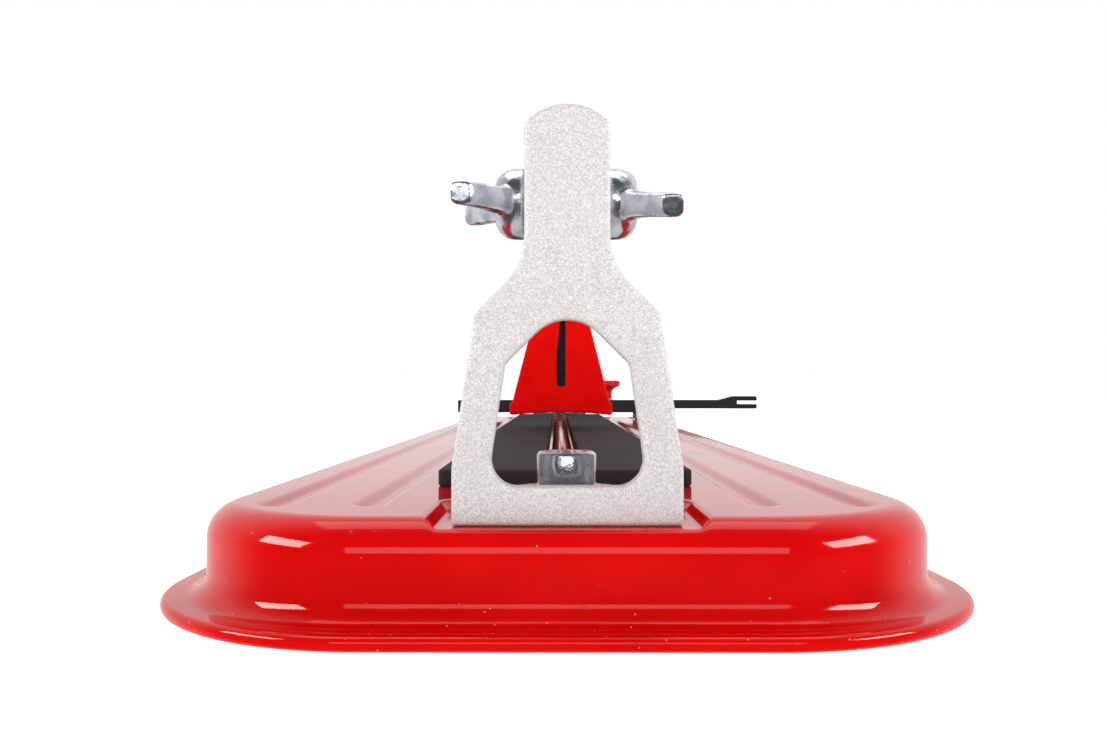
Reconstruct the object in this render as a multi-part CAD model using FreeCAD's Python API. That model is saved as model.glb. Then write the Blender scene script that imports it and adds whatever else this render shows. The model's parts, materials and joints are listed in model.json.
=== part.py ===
import FreeCAD, Part
import math
import os
from FreeCAD import Vector

# Single-rail manual tile cutter. Millimetres, +Z up.
# Origin: middle of the base, on the bench. +Y runs along the rail from the user's end
# to the fence end, +X is to the right of the user.

# ---- Base pan, pressed from sheet steel ----
BASE_LENGTH = 720.0
BASE_WIDTH = 186.0
BASE_HEIGHT = 23.0
SHEET = 1.2
FLANGE_WIDTH = 9.5
HEM_THICKNESS = 3.0
HEM_WIDTH = 3.0
CORNER_RADIUS = 54.0
TOP_FILLET = 6.0
ROOT_FILLET = 5.0
GROOVE_EDGE_MARGINS = (28.3, 49.3)
GROOVE_WIDTH = 7.2
GROOVE_DEPTH = 1.1
GROOVE_END_MARGIN = 33.0
RECESS_DEPTH = 2.0
RECESS_SIDE_GAP = 4.2
RECESS_REAR_GAP = 3.0
RECESS_CORNER = 11.0
RECESS_SLOPE = 1.6

# ---- What lies on and under the base ----
PAD_THICKNESS = 4.5
PAD_HALF_WIDTH = 33.4
PAD_GAP_HALF = 5.8
PAD_FRONT_MARGIN = 74.0
PAD_REAR_MARGIN = 98.0
PAD_CORNER = 2.0
RIDGE_HEIGHT = 4.2
RIDGE_TOP_RADIUS = 2.4
RIDGE_HALF_BASE = 4.2
BEAM_HALF_WIDTH = 20.0
BEAM_LIP = 9.0
BEAM_SHEET = 1.5
BEAM_END_MARGIN = 62.0
FOOT_RADIUS = 9.0
FOOT_EDGE_GAP = 0.5
CENTRE_FOOT_HALF = 14.0
CENTRE_FOOT_THICKNESS = 4.0

# ---- End brackets, die-cast ----
BRACKET_SET_BACK = 16.0
BRACKET_DEPTH = 30.0
BRACKET_PLATE = 5.0
BRACKET_WALL = 2.75
BRACKET_FLOOR = 4.0
BRACKET_HALF_WIDTH = 23.4
BRACKET_STRAIGHT = 11.7
BRACKET_SHOULDER_HALF = 18.8
BRACKET_SHOULDER_Z = 42.8
BRACKET_NECK_HALF = 8.75
BRACKET_NECK_RADIUS = 13.8
BRACKET_HEIGHT = 85.5
BRACKET_CROWN_RISE = 4.0
WINDOW_BOTTOM = 8.0
WINDOW_BOTTOM_RADIUS = 5.5
WINDOW_WIDE_HALF = 15.4
WINDOW_WIDE_Z = 14.0
WINDOW_KNEE_HALF = 12.7
WINDOW_KNEE_Z = 32.7
WINDOW_ARCH_RADIUS = 9.0

# ---- Bracket screws ----
M8_RADIUS = 4.0
M8_HEAD_RADIUS = 6.5
M8_HEAD_HEIGHT = 8.0
M8_HEX_FLAT = 6.0
M8_CLEARANCE_RADIUS = 4.5
M8_NUT_FLAT = 13.0
M8_NUT_HEIGHT = 6.5
BRACKET_SCREW_SET_BACK = 18.0
BRACKET_WASHER_RADIUS = 12.0
BRACKET_WASHER_THICKNESS = 2.0

# ---- Guide rail and its height adjustment ----
RAIL_WIDTH = 12.0
RAIL_STRAIGHT = 2.0
RAIL_ABOVE_WING_AXIS = 0.3
BLOCK_PROUD = 1.6
BLOCK_HEIGHT = 25.0
WING_AXIS_Z = 68.7
WING_AXIS_SET_BACK = 20.0
RAIL_LIFT = 10.0
M6_RADIUS = 3.0
M6_CLEARANCE_RADIUS = 3.3
END_SCREW_HEAD_RADIUS = 4.8
END_SCREW_LENGTH = 40.0
STOP_WALL = 3.0
STOP_LENGTH = 9.0
STOP_TOP_MARGIN = 3.0
FRONT_STOP_MARGIN = 51.0
REAR_STOP_MARGIN = 13.0

# ---- Wing screws ----
WING_HUB_RADIUS = 7.8
WING_HUB_HEIGHT = 6.6
WING_SHANK_GAP = 1.0
WING_REACH = 16.0
WING_TIP_HEIGHT = 15.3
WING_BAR_WIDTH = 5.6
WING_BAR_THICKNESS = 4.4
WING_ROOT_RADIUS = 4.5
LEFT_WING_TURN = 1.7
RIGHT_WING_TURN = 11.3

# ---- Carriage ----
CHEEK_THICKNESS = 3.0
CHEEK_FRONT = -12.0
CHEEK_REAR = 50.0
ROLLER_Y = (4.0, 38.0)
ROLLER_GROOVE_FLOOR = 6.0
ROLLER_RADIUS = 9.5
ROLLER_WIDTH = 15.4
AXLE_RADIUS = 3.0
AXLE_HEAD_RADIUS = 5.0
AXLE_HEAD_HEIGHT = 2.0
CHEEK_TOP_MARGIN = 3.0

# ---- Lever: fork, breaker foot, wheel and handle ----
PIVOT_Y = -14.0
PIVOT_Z = 67.0
PIVOT_RADIUS = 4.0
PIVOT_LUG_RADIUS = 9.0
FORK_WALL = 4.2
FOOT_FRONT_Y = -35.0
FOOT_PLATE = 4.0
FOOT_BOTTOM_Z = 34.6
FOOT_TOP_Z = 85.6
FOOT_BEAD_HEIGHT = 7.0
FOOT_BEAD_HALF = 27.1
FOOT_BEAD_DEPTH = 12.0
FOOT_ARCH = 1.6
FOOT_LOWER_HALF = 25.2
FOOT_LOWER_Z = 43.4
FOOT_UPPER_Z = 81.0
FOOT_SLOT_WIDTH = 4.6
FOOT_SLOT_BOTTOM_Z = 49.8
FOOT_SLOT_STEP_Z = 68.0
FOOT_SLOT_NARROWING = 2.2
FOOT_EAR_THICKNESS = 5.0
SLOT_STRIP_THICKNESS = 1.0
SLOT_STRIP_OVERLAP = 3.0
BRIDGE_FRONT_Y = -64.0
BRIDGE_REAR_Y = -37.0
BRIDGE_BOTTOM_Z = 110.0
BRIDGE_TOP_Z = 131.0
SOCKET_Z = 121.0
SOCKET_BOSS_RADIUS = 11.5
SOCKET_BOSS_LENGTH = 16.0
TUBE_RADIUS = 8.0
TUBE_WALL = 1.5
HANDLE_RISE_DEG = 1.0
GRIP_START_Y = -112.0
GRIP_LENGTH = 120.0
GRIP_RADIUS = 12.0
GRIP_CAP_LENGTH = 4.0
WHEEL_Y = 21.0
WHEEL_Z = 49.0
WHEEL_RADIUS = 9.0
WHEEL_THICKNESS = 2.2
WHEEL_AXLE_RADIUS = 2.0
HOLDER_HALF_LENGTH = 8.5
HOLDER_BOTTOM_Z = 43.5
HOLDER_TOP_Z = 60.0
HOLDER_WAIST_HALF = 5.0
HOLDER_CHEEK = 2.5
M5_RADIUS = 2.5
M5_HEAD_RADIUS = 4.25
M5_HEAD_HEIGHT = 2.8

# ---- Fence and measuring arm ----
FENCE_END_MARGIN = 69.0
FENCE_HALF_DEPTH = 11.0
FENCE_SIDE_MARGIN = 6.0
FENCE_LIFT = 5.3
FENCE_HEIGHT = 10.3
FENCE_GROOVE_HALF = 6.6
FENCE_FLOOR = 3.0
FENCE_SCREW_INSET = 19.0
SPACER_RADIUS = 4.5
ARM_HALF_DEPTH = 6.3
ARM_HEIGHT = 7.2
ARM_START_X = -62.0
ARM_END_X = 156.0
ARM_SLOT_START_X = -54.0
ARM_SLOT_END_X = 68.0
FORK_END_X = 170.0
FORK_END_LIFT = 1.6
FORK_END_HEIGHT = 10.6
FORK_END_SLOT = 3.2
KNOB_X = 36.0
KNOB_RADIUS = 16.5
KNOB_NECK_RADIUS = 9.5
KNOB_HEIGHT = 15.0
KNOB_WASHER_RADIUS = 10.0
KNOB_WASHER_THICKNESS = 1.4

# ---- Clearances ----
GAP = 0.3
RUNNING = 0.05

# ---- Worked out from the values above ----
RECESS_Z = BASE_HEIGHT - RECESS_DEPTH
PAD_TOP_Z = BASE_HEIGHT + PAD_THICKNESS
BRACKET_FACE_Y = BASE_LENGTH / 2 - BRACKET_SET_BACK
BRACKET_REAR_Y = BRACKET_FACE_Y - BRACKET_DEPTH
BRACKET_SCREW_Y = BRACKET_FACE_Y - BRACKET_SCREW_SET_BACK
WING_Y = BRACKET_FACE_Y - WING_AXIS_SET_BACK
WING_Z = RECESS_Z + WING_AXIS_Z
CHANNEL_HALF = BRACKET_NECK_HALF - BRACKET_WALL
BLOCK_OUTER_Y = BRACKET_FACE_Y - BRACKET_PLATE - 2 * GAP
BLOCK_INNER_Y = BRACKET_REAR_Y - BLOCK_PROUD
BLOCK_LENGTH = BLOCK_OUTER_Y - BLOCK_INNER_Y
RAIL_BOTTOM = WING_Z + RAIL_ABOVE_WING_AXIS
RAIL_HEIGHT = RAIL_WIDTH + RAIL_STRAIGHT
RAIL_TOP = RAIL_BOTTOM + RAIL_HEIGHT
RAIL_Z = RAIL_BOTTOM + RAIL_HEIGHT / 2
BLOCK_BOTTOM_Z = RAIL_TOP + 1.0 - BLOCK_HEIGHT
CHEEK_INNER = ROLLER_WIDTH / 2 + GAP
CHEEK_OUTER = CHEEK_INNER + CHEEK_THICKNESS
FORK_INNER = CHEEK_OUTER + GAP
FORK_OUTER = FORK_INNER + FORK_WALL
UPPER_ROLLER_Z = RAIL_TOP + GAP + ROLLER_GROOVE_FLOOR
LOWER_ROLLER_Z = RAIL_BOTTOM - GAP - ROLLER_GROOVE_FLOOR
BEAM_TOP_Z = BASE_HEIGHT - SHEET
FENCE_Y = BASE_LENGTH / 2 - FENCE_END_MARGIN
FENCE_HALF_WIDTH = BASE_WIDTH / 2 - FENCE_SIDE_MARGIN
FENCE_SCREW_X = FENCE_HALF_WIDTH - FENCE_SCREW_INSET
FENCE_BOTTOM_Z = BASE_HEIGHT + FENCE_LIFT
FENCE_TOP_Z = FENCE_BOTTOM_Z + FENCE_HEIGHT
ARM_BOTTOM_Z = FENCE_BOTTOM_Z + FENCE_FLOOR + GAP
ARM_TOP_Z = ARM_BOTTOM_Z + ARM_HEIGHT
LARGE = 1000.0


# ---------------------------------------------------------------- shape helpers

def box(x0, x1, y0, y1, z0, z1):
    """Axis-aligned block between two corners."""
    return Part.makeBox(x1 - x0, y1 - y0, z1 - z0, Vector(x0, y0, z0))


def rod(radius, start, end):
    """Round bar between two points."""
    run = end - start
    return Part.makeCylinder(radius, run.Length, start, run)


def tube(outer, inner, start, end):
    """Round bar with a hole all the way through."""
    return rod(outer, start, end).cut(rod(inner, start, end))


def hexagon(across_flats, start, end):
    """Hexagonal bar between two points, two of its flats facing +Y and -Y."""
    run = end - start
    corner = across_flats / math.sqrt(3)
    points = []
    for k in range(7):
        angle = math.radians(60 * k)
        points.append(start + Vector(corner * math.cos(angle), corner * math.sin(angle), 0))
    return Part.Face(Part.makePolygon(points)).extrude(run)


def face_of(edges):
    """Face inside a closed run of edges."""
    return Part.Face(Part.Wire(edges))


def line(a, b):
    return Part.LineSegment(a, b).toShape()


def arc(a, middle, b):
    return Part.Arc(a, middle, b).toShape()


def rounded_wire(half_x, y0, y1, radius, z):
    """Rectangle with round corners in a level plane."""
    inset = radius * (1 - math.sqrt(0.5))
    edges = [
        line(Vector(-half_x + radius, y0, z), Vector(half_x - radius, y0, z)),
        arc(Vector(half_x - radius, y0, z), Vector(half_x - inset, y0 + inset, z),
            Vector(half_x, y0 + radius, z)),
        line(Vector(half_x, y0 + radius, z), Vector(half_x, y1 - radius, z)),
        arc(Vector(half_x, y1 - radius, z), Vector(half_x - inset, y1 - inset, z),
            Vector(half_x - radius, y1, z)),
        line(Vector(half_x - radius, y1, z), Vector(-half_x + radius, y1, z)),
        arc(Vector(-half_x + radius, y1, z), Vector(-half_x + inset, y1 - inset, z),
            Vector(-half_x, y1 - radius, z)),
        line(Vector(-half_x, y1 - radius, z), Vector(-half_x, y0 + radius, z)),
        arc(Vector(-half_x, y0 + radius, z), Vector(-half_x + inset, y0 + inset, z),
            Vector(-half_x + radius, y0, z)),
    ]
    return Part.Wire(edges)


def rounded_block(half_x, half_y, radius, z0, z1):
    """Block with round vertical corners, centred on the origin."""
    wire = rounded_wire(half_x, -half_y, half_y, radius, z0)
    return Part.Face(wire).extrude(Vector(0, 0, z1 - z0))


def level_edges(shape, z, min_half_y=0.0, max_half_y=LARGE):
    """Edges that lie in the plane at height z and reach between two distances from X."""
    found = []
    for edge in shape.Edges:
        bounds = edge.BoundBox
        reach = max(abs(bounds.YMin), abs(bounds.YMax))
        level = abs(bounds.ZMin - z) < 1e-4 and abs(bounds.ZMax - z) < 1e-4
        if level and min_half_y < reach < max_half_y:
            found.append(edge)
    return found


def at_both_ends(shape):
    """The shape at the user's end (-Y) and its copy turned half round to the other end."""
    other = shape.copy()
    other.rotate(Vector(0, 0, 0), Vector(0, 0, 1), 180)
    return [shape, other]


def mirrored_x(shape):
    return shape.mirror(Vector(0, 0, 0), Vector(1, 0, 0))


def side_plate(points, x0, x1, radius=0.0):
    """Plate lying in a YZ plane from x0 to x1, its outline given as (y, z) corners."""
    corners = [Vector(x0, y, z) for y, z in points]
    plate = Part.Face(Part.makePolygon(corners + corners[:1])).extrude(Vector(x1 - x0, 0, 0))
    if radius > 0:
        across = [edge for edge in plate.Edges if edge.BoundBox.XLength > abs(x1 - x0) / 2]
        plate = plate.makeFillet(radius, across)
    return plate


def front_plate(points, y0, y1, radius=0.0):
    """Plate lying in an XZ plane from y0 to y1, its outline given as (x, z) corners."""
    corners = [Vector(x, y0, z) for x, z in points]
    plate = Part.Face(Part.makePolygon(corners + corners[:1])).extrude(Vector(0, y1 - y0, 0))
    if radius > 0:
        across = [edge for edge in plate.Edges if edge.BoundBox.YLength > abs(y1 - y0) / 2]
        plate = plate.makeFillet(radius, across)
    return plate


def stadium_bar(half_width, half_height, y0, y1):
    """Bar along Y at the rail's height, its top and bottom rounded to half circles."""
    straight = half_height - half_width
    edges = [
        line(Vector(half_width, y0, RAIL_Z - straight), Vector(half_width, y0, RAIL_Z + straight)),
        arc(Vector(half_width, y0, RAIL_Z + straight), Vector(0, y0, RAIL_Z + half_height),
            Vector(-half_width, y0, RAIL_Z + straight)),
        line(Vector(-half_width, y0, RAIL_Z + straight), Vector(-half_width, y0, RAIL_Z - straight)),
        arc(Vector(-half_width, y0, RAIL_Z - straight), Vector(0, y0, RAIL_Z - half_height),
            Vector(half_width, y0, RAIL_Z - straight)),
    ]
    return face_of(edges).extrude(Vector(0, y1 - y0, 0))


def save(name, shapes):
    """Write one node: a solid, or a group of identical separate solids."""
    shape = Part.makeCompound(shapes) if isinstance(shapes, list) else shapes
    shape.exportStep("parts/" + name + ".step")


# ---------------------------------------------------------------- base

def groove_capsules(extra):
    """Round-ended bars that press the long grooves; extra thickens them by the sheet."""
    half = GROOVE_WIDTH / 2
    radius = (half ** 2 + GROOVE_DEPTH ** 2) / (2 * GROOVE_DEPTH)
    centre_z = BASE_HEIGHT + radius - GROOVE_DEPTH
    end_y = BASE_LENGTH / 2 - GROOVE_END_MARGIN - half
    capsules = []
    for margin in GROOVE_EDGE_MARGINS:
        x = BASE_WIDTH / 2 - margin
        for side in (-1, 1):
            front = Vector(side * x, -end_y, centre_z)
            rear = Vector(side * x, end_y, centre_z)
            bar = rod(radius + extra, front, rear)
            bar = bar.fuse(Part.makeSphere(radius + extra, front))
            bar = bar.fuse(Part.makeSphere(radius + extra, rear))
            capsules.append(bar)
    return capsules


def recess_blocks(extra):
    """Shallow wells for the bracket feet, sloping sides, open towards the end walls."""
    y0 = -BASE_LENGTH / 2
    y1 = -BRACKET_REAR_Y + RECESS_REAR_GAP + extra
    half = BRACKET_HALF_WIDTH + RECESS_SIDE_GAP + extra
    floor = rounded_wire(half, y0, y1, RECESS_CORNER, RECESS_Z - extra)
    rim = rounded_wire(half + RECESS_SLOPE, y0 - RECESS_SLOPE, y1 + RECESS_SLOPE,
                       RECESS_CORNER + RECESS_SLOPE, BASE_HEIGHT)
    well = Part.makeLoft([floor, rim], True)
    return at_both_ends(well)


def base_holes():
    """Screw holes for the brackets and for the fence."""
    drills = []
    for y in (-BRACKET_SCREW_Y, BRACKET_SCREW_Y):
        drills.append(rod(M8_CLEARANCE_RADIUS, Vector(0, y, 0), Vector(0, y, BASE_HEIGHT + 1)))
    for x in (-FENCE_SCREW_X, FENCE_SCREW_X):
        drills.append(rod(M5_RADIUS + GAP, Vector(x, FENCE_Y, 0), Vector(x, FENCE_Y, BASE_HEIGHT + 1)))
    return drills


def make_base_pan():
    """Sheet pan: flat top, rolled top edge, upright wall, flange and thick hem."""
    wall_x = BASE_WIDTH / 2 - FLANGE_WIDTH
    wall_y = BASE_LENGTH / 2 - FLANGE_WIDTH
    wall_radius = CORNER_RADIUS - FLANGE_WIDTH

    body = rounded_block(wall_x, wall_y, wall_radius, 0, BASE_HEIGHT)
    body = body.makeFillet(TOP_FILLET, level_edges(body, BASE_HEIGHT))
    flange = rounded_block(BASE_WIDTH / 2, BASE_LENGTH / 2, CORNER_RADIUS, 0, HEM_THICKNESS)
    hem_round = HEM_THICKNESS * 0.45
    hem_edges = level_edges(flange, 0) + level_edges(flange, HEM_THICKNESS)
    flange = flange.makeFillet(hem_round, hem_edges)
    shell = body.fuse(flange).removeSplitter()
    root_edges = []
    for edge in level_edges(shell, HEM_THICKNESS):
        middle = edge.valueAt((edge.FirstParameter + edge.LastParameter) / 2)
        inside_x = abs(middle.x) < wall_x + 0.1
        inside_y = abs(middle.y) < wall_y + 0.1
        if inside_x and inside_y:
            root_edges.append(edge)
    shell = shell.makeFillet(ROOT_FILLET, root_edges)

    cavity = rounded_block(wall_x - SHEET, wall_y - SHEET, wall_radius - SHEET,
                           -1, BASE_HEIGHT - SHEET)
    cavity = cavity.makeFillet(TOP_FILLET - SHEET, level_edges(cavity, BASE_HEIGHT - SHEET))
    under_flange = rounded_block(BASE_WIDTH / 2 - HEM_WIDTH, BASE_LENGTH / 2 - HEM_WIDTH,
                                 CORNER_RADIUS - HEM_WIDTH, -1, HEM_THICKNESS - SHEET)
    cavity = cavity.cut(groove_capsules(SHEET))
    cavity = cavity.cut(recess_blocks(SHEET))
    shell = shell.cut(groove_capsules(0))
    shell = shell.cut(recess_blocks(0))
    shell = shell.cut([cavity, under_flange])
    return shell.cut(base_holes())


def make_ridge():
    """Breaking ridge: solid rib with sloping sides and a round top."""
    y0 = -BASE_LENGTH / 2 + PAD_FRONT_MARGIN
    y1 = BASE_LENGTH / 2 - PAD_REAR_MARGIN
    top = BASE_HEIGHT + RIDGE_HEIGHT
    shoulder = RIDGE_TOP_RADIUS * math.sqrt(0.5)
    left = Vector(-shoulder, y0, top - RIDGE_TOP_RADIUS + shoulder)
    right = Vector(shoulder, y0, top - RIDGE_TOP_RADIUS + shoulder)
    foot_left = Vector(-RIDGE_HALF_BASE, y0, BASE_HEIGHT)
    foot_right = Vector(RIDGE_HALF_BASE, y0, BASE_HEIGHT)
    edges = [
        line(foot_left, left),
        arc(left, Vector(0, y0, top), right),
        line(right, foot_right),
        line(foot_right, foot_left),
    ]
    return face_of(edges).extrude(Vector(0, y1 - y0, 0))


def make_pad(side):
    """Cushion sheet beside the ridge, its outer corners rounded."""
    inner = PAD_GAP_HALF
    outer = PAD_HALF_WIDTH
    pad = box(inner, outer, -BASE_LENGTH / 2 + PAD_FRONT_MARGIN, BASE_LENGTH / 2 - PAD_REAR_MARGIN,
              BASE_HEIGHT, PAD_TOP_Z)
    outer_edges = []
    for edge in pad.Edges:
        upright = edge.BoundBox.ZLength > PAD_THICKNESS / 2
        if upright and edge.BoundBox.XMin > (inner + outer) / 2:
            outer_edges.append(edge)
    pad = pad.makeFillet(PAD_CORNER, outer_edges)
    return pad if side > 0 else mirrored_x(pad)


def make_centre_beam():
    """Hat-section stiffener under the ridge."""
    half_length = BASE_LENGTH / 2 - BEAM_END_MARGIN
    bottom = CENTRE_FOOT_THICKNESS
    outside = box(-BEAM_HALF_WIDTH, BEAM_HALF_WIDTH, -half_length, half_length, bottom, BEAM_TOP_Z)
    lips = box(-BEAM_HALF_WIDTH - BEAM_LIP, BEAM_HALF_WIDTH + BEAM_LIP, -half_length, half_length,
               BEAM_TOP_Z - BEAM_SHEET, BEAM_TOP_Z)
    inside = box(-BEAM_HALF_WIDTH + BEAM_SHEET, BEAM_HALF_WIDTH - BEAM_SHEET, -LARGE, LARGE,
                 bottom + BEAM_SHEET, BEAM_TOP_Z + 1)
    return outside.fuse(lips).cut(inside).removeSplitter()


def make_rubber_feet(pan):
    """Four tall buffers moulded to the pan's underside and one foot under the beam's middle."""
    feet = []
    foot_x = BASE_WIDTH / 2 - CORNER_RADIUS
    foot_y = BASE_LENGTH / 2 - FLANGE_WIDTH - TOP_FILLET - FOOT_RADIUS - FOOT_EDGE_GAP
    for x in (-foot_x, foot_x):
        for y in (-foot_y, foot_y):
            feet.append(rod(FOOT_RADIUS, Vector(x, y, 0), Vector(x, y, BEAM_TOP_Z)).cut(pan))
    feet.append(box(-CENTRE_FOOT_HALF, CENTRE_FOOT_HALF, -3 * CENTRE_FOOT_HALF, 3 * CENTRE_FOOT_HALF,
                    0, CENTRE_FOOT_THICKNESS))
    return feet


# ---------------------------------------------------------------- brackets

def bracket_outline(inset):
    """Outline of the bracket seen along the rail, drawn inwards by inset, at y = 0."""
    slope = (BRACKET_HALF_WIDTH - BRACKET_SHOULDER_HALF) / (BRACKET_SHOULDER_Z - BRACKET_STRAIGHT)
    neck = BRACKET_NECK_HALF - inset
    radius = BRACKET_NECK_RADIUS + inset
    foot_half = BRACKET_HALF_WIDTH - inset
    shoulder_half = BRACKET_SHOULDER_HALF - inset
    shoulder_z = BRACKET_SHOULDER_Z - inset * (math.sqrt(2) - 1 + slope)
    arc_end_x = neck + radius * (1 - math.sqrt(0.5))
    arc_start_z = shoulder_z + shoulder_half - arc_end_x
    arc_end_z = arc_start_z + radius * math.sqrt(0.5)
    middle_x = neck + radius * (1 - math.cos(math.pi / 8))
    middle_z = arc_end_z - radius * math.sin(math.pi / 8)
    crown_z = BRACKET_HEIGHT - BRACKET_CROWN_RISE
    z0 = RECESS_Z

    right = [
        Vector(foot_half, 0, z0),
        Vector(foot_half, 0, z0 + BRACKET_STRAIGHT),
        Vector(shoulder_half, 0, z0 + shoulder_z),
        Vector(arc_end_x, 0, z0 + arc_start_z),
        Vector(middle_x, 0, z0 + middle_z),
        Vector(neck, 0, z0 + arc_end_z),
        Vector(neck, 0, z0 + crown_z),
    ]
    left = [Vector(-p.x, 0, p.z) for p in right]
    edges = [line(left[0], right[0])]
    edges += [line(right[0], right[1]), line(right[1], right[2]), line(right[2], right[3])]
    edges += [arc(right[3], right[4], right[5]), line(right[5], right[6])]
    edges += [arc(right[6], Vector(0, 0, z0 + BRACKET_HEIGHT), left[6])]
    edges += [line(left[6], left[5]), arc(left[5], left[4], left[3])]
    edges += [line(left[3], left[2]), line(left[2], left[1]), line(left[1], left[0])]
    return face_of(edges)


def window_outline():
    """Window of the bracket: flat sill, sides leaning in, arched head, at y = 0."""
    z0 = RECESS_Z
    head = WINDOW_ARCH_RADIUS * math.sqrt(0.5)
    head_z = WINDOW_KNEE_Z + WINDOW_KNEE_HALF - head
    arch_top = head_z - head + WINDOW_ARCH_RADIUS
    sill_half = WINDOW_WIDE_HALF - WINDOW_BOTTOM_RADIUS + 1.0
    corner_x = WINDOW_WIDE_HALF - WINDOW_BOTTOM_RADIUS * 0.25
    corner_z = WINDOW_BOTTOM + (WINDOW_WIDE_Z - WINDOW_BOTTOM) * 0.28
    right = [
        Vector(sill_half, 0, z0 + WINDOW_BOTTOM),
        Vector(corner_x, 0, z0 + corner_z),
        Vector(WINDOW_WIDE_HALF, 0, z0 + WINDOW_WIDE_Z),
        Vector(WINDOW_KNEE_HALF, 0, z0 + WINDOW_KNEE_Z),
        Vector(head, 0, z0 + head_z),
    ]
    left = [Vector(-p.x, 0, p.z) for p in right]
    edges = [line(left[0], right[0]), arc(right[0], right[1], right[2])]
    edges += [line(right[2], right[3]), line(right[3], right[4])]
    edges += [arc(right[4], Vector(0, 0, z0 + arch_top), left[4])]
    edges += [line(left[4], left[3]), line(left[3], left[2]), arc(left[2], left[1], left[0])]
    return face_of(edges)


def make_bracket():
    """Bracket at the user's end: front plate, side walls all round, floor, open channel."""
    face_y = -BRACKET_FACE_Y
    plate_y = face_y + BRACKET_PLATE
    outside = bracket_outline(0).extrude(Vector(0, BRACKET_DEPTH, 0))
    outside.translate(Vector(0, face_y, 0))
    inside = bracket_outline(BRACKET_WALL).extrude(Vector(0, BRACKET_DEPTH, 0))
    inside.translate(Vector(0, plate_y, 0))
    floor = box(-LARGE, LARGE, -LARGE, 0, 0, RECESS_Z + BRACKET_FLOOR)
    inside = inside.cut(floor)
    window = window_outline().extrude(Vector(0, BRACKET_DEPTH, 0))
    window.translate(Vector(0, face_y - 1, 0))
    crown_slot = box(-CHANNEL_HALF, CHANNEL_HALF, plate_y, 0, WING_Z, RECESS_Z + BRACKET_HEIGHT + 1)
    bracket = outside.cut([inside, window, crown_slot])

    slot_half = M8_RADIUS + 2 * GAP
    screw_slot = box(-LARGE, LARGE, -WING_Y - slot_half, -WING_Y + slot_half, WING_Z, WING_Z + RAIL_LIFT)
    slot_ends = []
    for z in (WING_Z, WING_Z + RAIL_LIFT):
        slot_ends.append(rod(slot_half, Vector(-LARGE, -WING_Y, z), Vector(LARGE, -WING_Y, z)))
    bracket = bracket.cut([screw_slot] + slot_ends)
    hole = rod(M8_CLEARANCE_RADIUS, Vector(0, -BRACKET_SCREW_Y, 0),
               Vector(0, -BRACKET_SCREW_Y, RECESS_Z + BRACKET_FLOOR + 1))
    return bracket.cut(hole).removeSplitter()


def make_bracket_fasteners():
    """Cap screws, wide washers on the bracket floors, and nuts under the pan."""
    y = -BRACKET_SCREW_Y
    floor_z = RECESS_Z + BRACKET_FLOOR
    washer_z = floor_z + BRACKET_WASHER_THICKNESS
    pan_under_z = RECESS_Z - SHEET
    nut_z = pan_under_z - M8_NUT_HEIGHT
    washer = tube(BRACKET_WASHER_RADIUS, M8_RADIUS + GAP, Vector(0, y, floor_z), Vector(0, y, washer_z))
    head = rod(M8_HEAD_RADIUS, Vector(0, y, washer_z), Vector(0, y, washer_z + M8_HEAD_HEIGHT))
    head = head.makeChamfer(0.7, [e for e in head.Edges
                                  if abs(e.BoundBox.ZMin - washer_z - M8_HEAD_HEIGHT) < 1e-4])
    socket = hexagon(M8_HEX_FLAT, Vector(0, y, washer_z + M8_HEAD_HEIGHT / 2),
                     Vector(0, y, washer_z + M8_HEAD_HEIGHT + 1))
    shank = rod(M8_RADIUS, Vector(0, y, nut_z - 1.5), Vector(0, y, washer_z))
    screw = head.fuse(shank).cut(socket).removeSplitter()
    nut = hexagon(M8_NUT_FLAT, Vector(0, y, nut_z), Vector(0, y, pan_under_z))
    nut = nut.cut(rod(M8_RADIUS, Vector(0, y, nut_z - 1), Vector(0, y, pan_under_z + 1)))
    save("bracket_screws", at_both_ends(screw))
    save("bracket_washers", at_both_ends(washer))
    save("bracket_nuts", at_both_ends(nut))


# ---------------------------------------------------------------- rail

def make_rail():
    """Bar with round top and bottom, tapped at both ends."""
    rail = stadium_bar(RAIL_WIDTH / 2, RAIL_HEIGHT / 2, -BLOCK_INNER_Y, BLOCK_INNER_Y)
    depth = END_SCREW_LENGTH - BLOCK_LENGTH + 2
    tap = rod(M6_RADIUS, Vector(0, -BLOCK_INNER_Y - 1, RAIL_Z), Vector(0, -BLOCK_INNER_Y + depth, RAIL_Z))
    return rail.cut(at_both_ends(tap))


def make_end_block():
    """Block that rides up and down in the bracket's channel, bored for the wing screws."""
    half = CHANNEL_HALF - GAP
    block = box(-half, half, -BLOCK_OUTER_Y, -BLOCK_INNER_Y, BLOCK_BOTTOM_Z, BLOCK_BOTTOM_Z + BLOCK_HEIGHT)
    along = rod(M6_CLEARANCE_RADIUS, Vector(0, -BLOCK_OUTER_Y - 1, RAIL_Z), Vector(0, 0, RAIL_Z))
    head_seat = Part.makeCone(END_SCREW_HEAD_RADIUS + GAP, M6_RADIUS,
                              END_SCREW_HEAD_RADIUS - M6_RADIUS + GAP,
                              Vector(0, -BLOCK_OUTER_Y, RAIL_Z), Vector(0, 1, 0))
    across = rod(M8_RADIUS + RUNNING, Vector(-LARGE, -WING_Y, WING_Z), Vector(LARGE, -WING_Y, WING_Z))
    return block.cut([along, head_seat, across])


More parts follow.
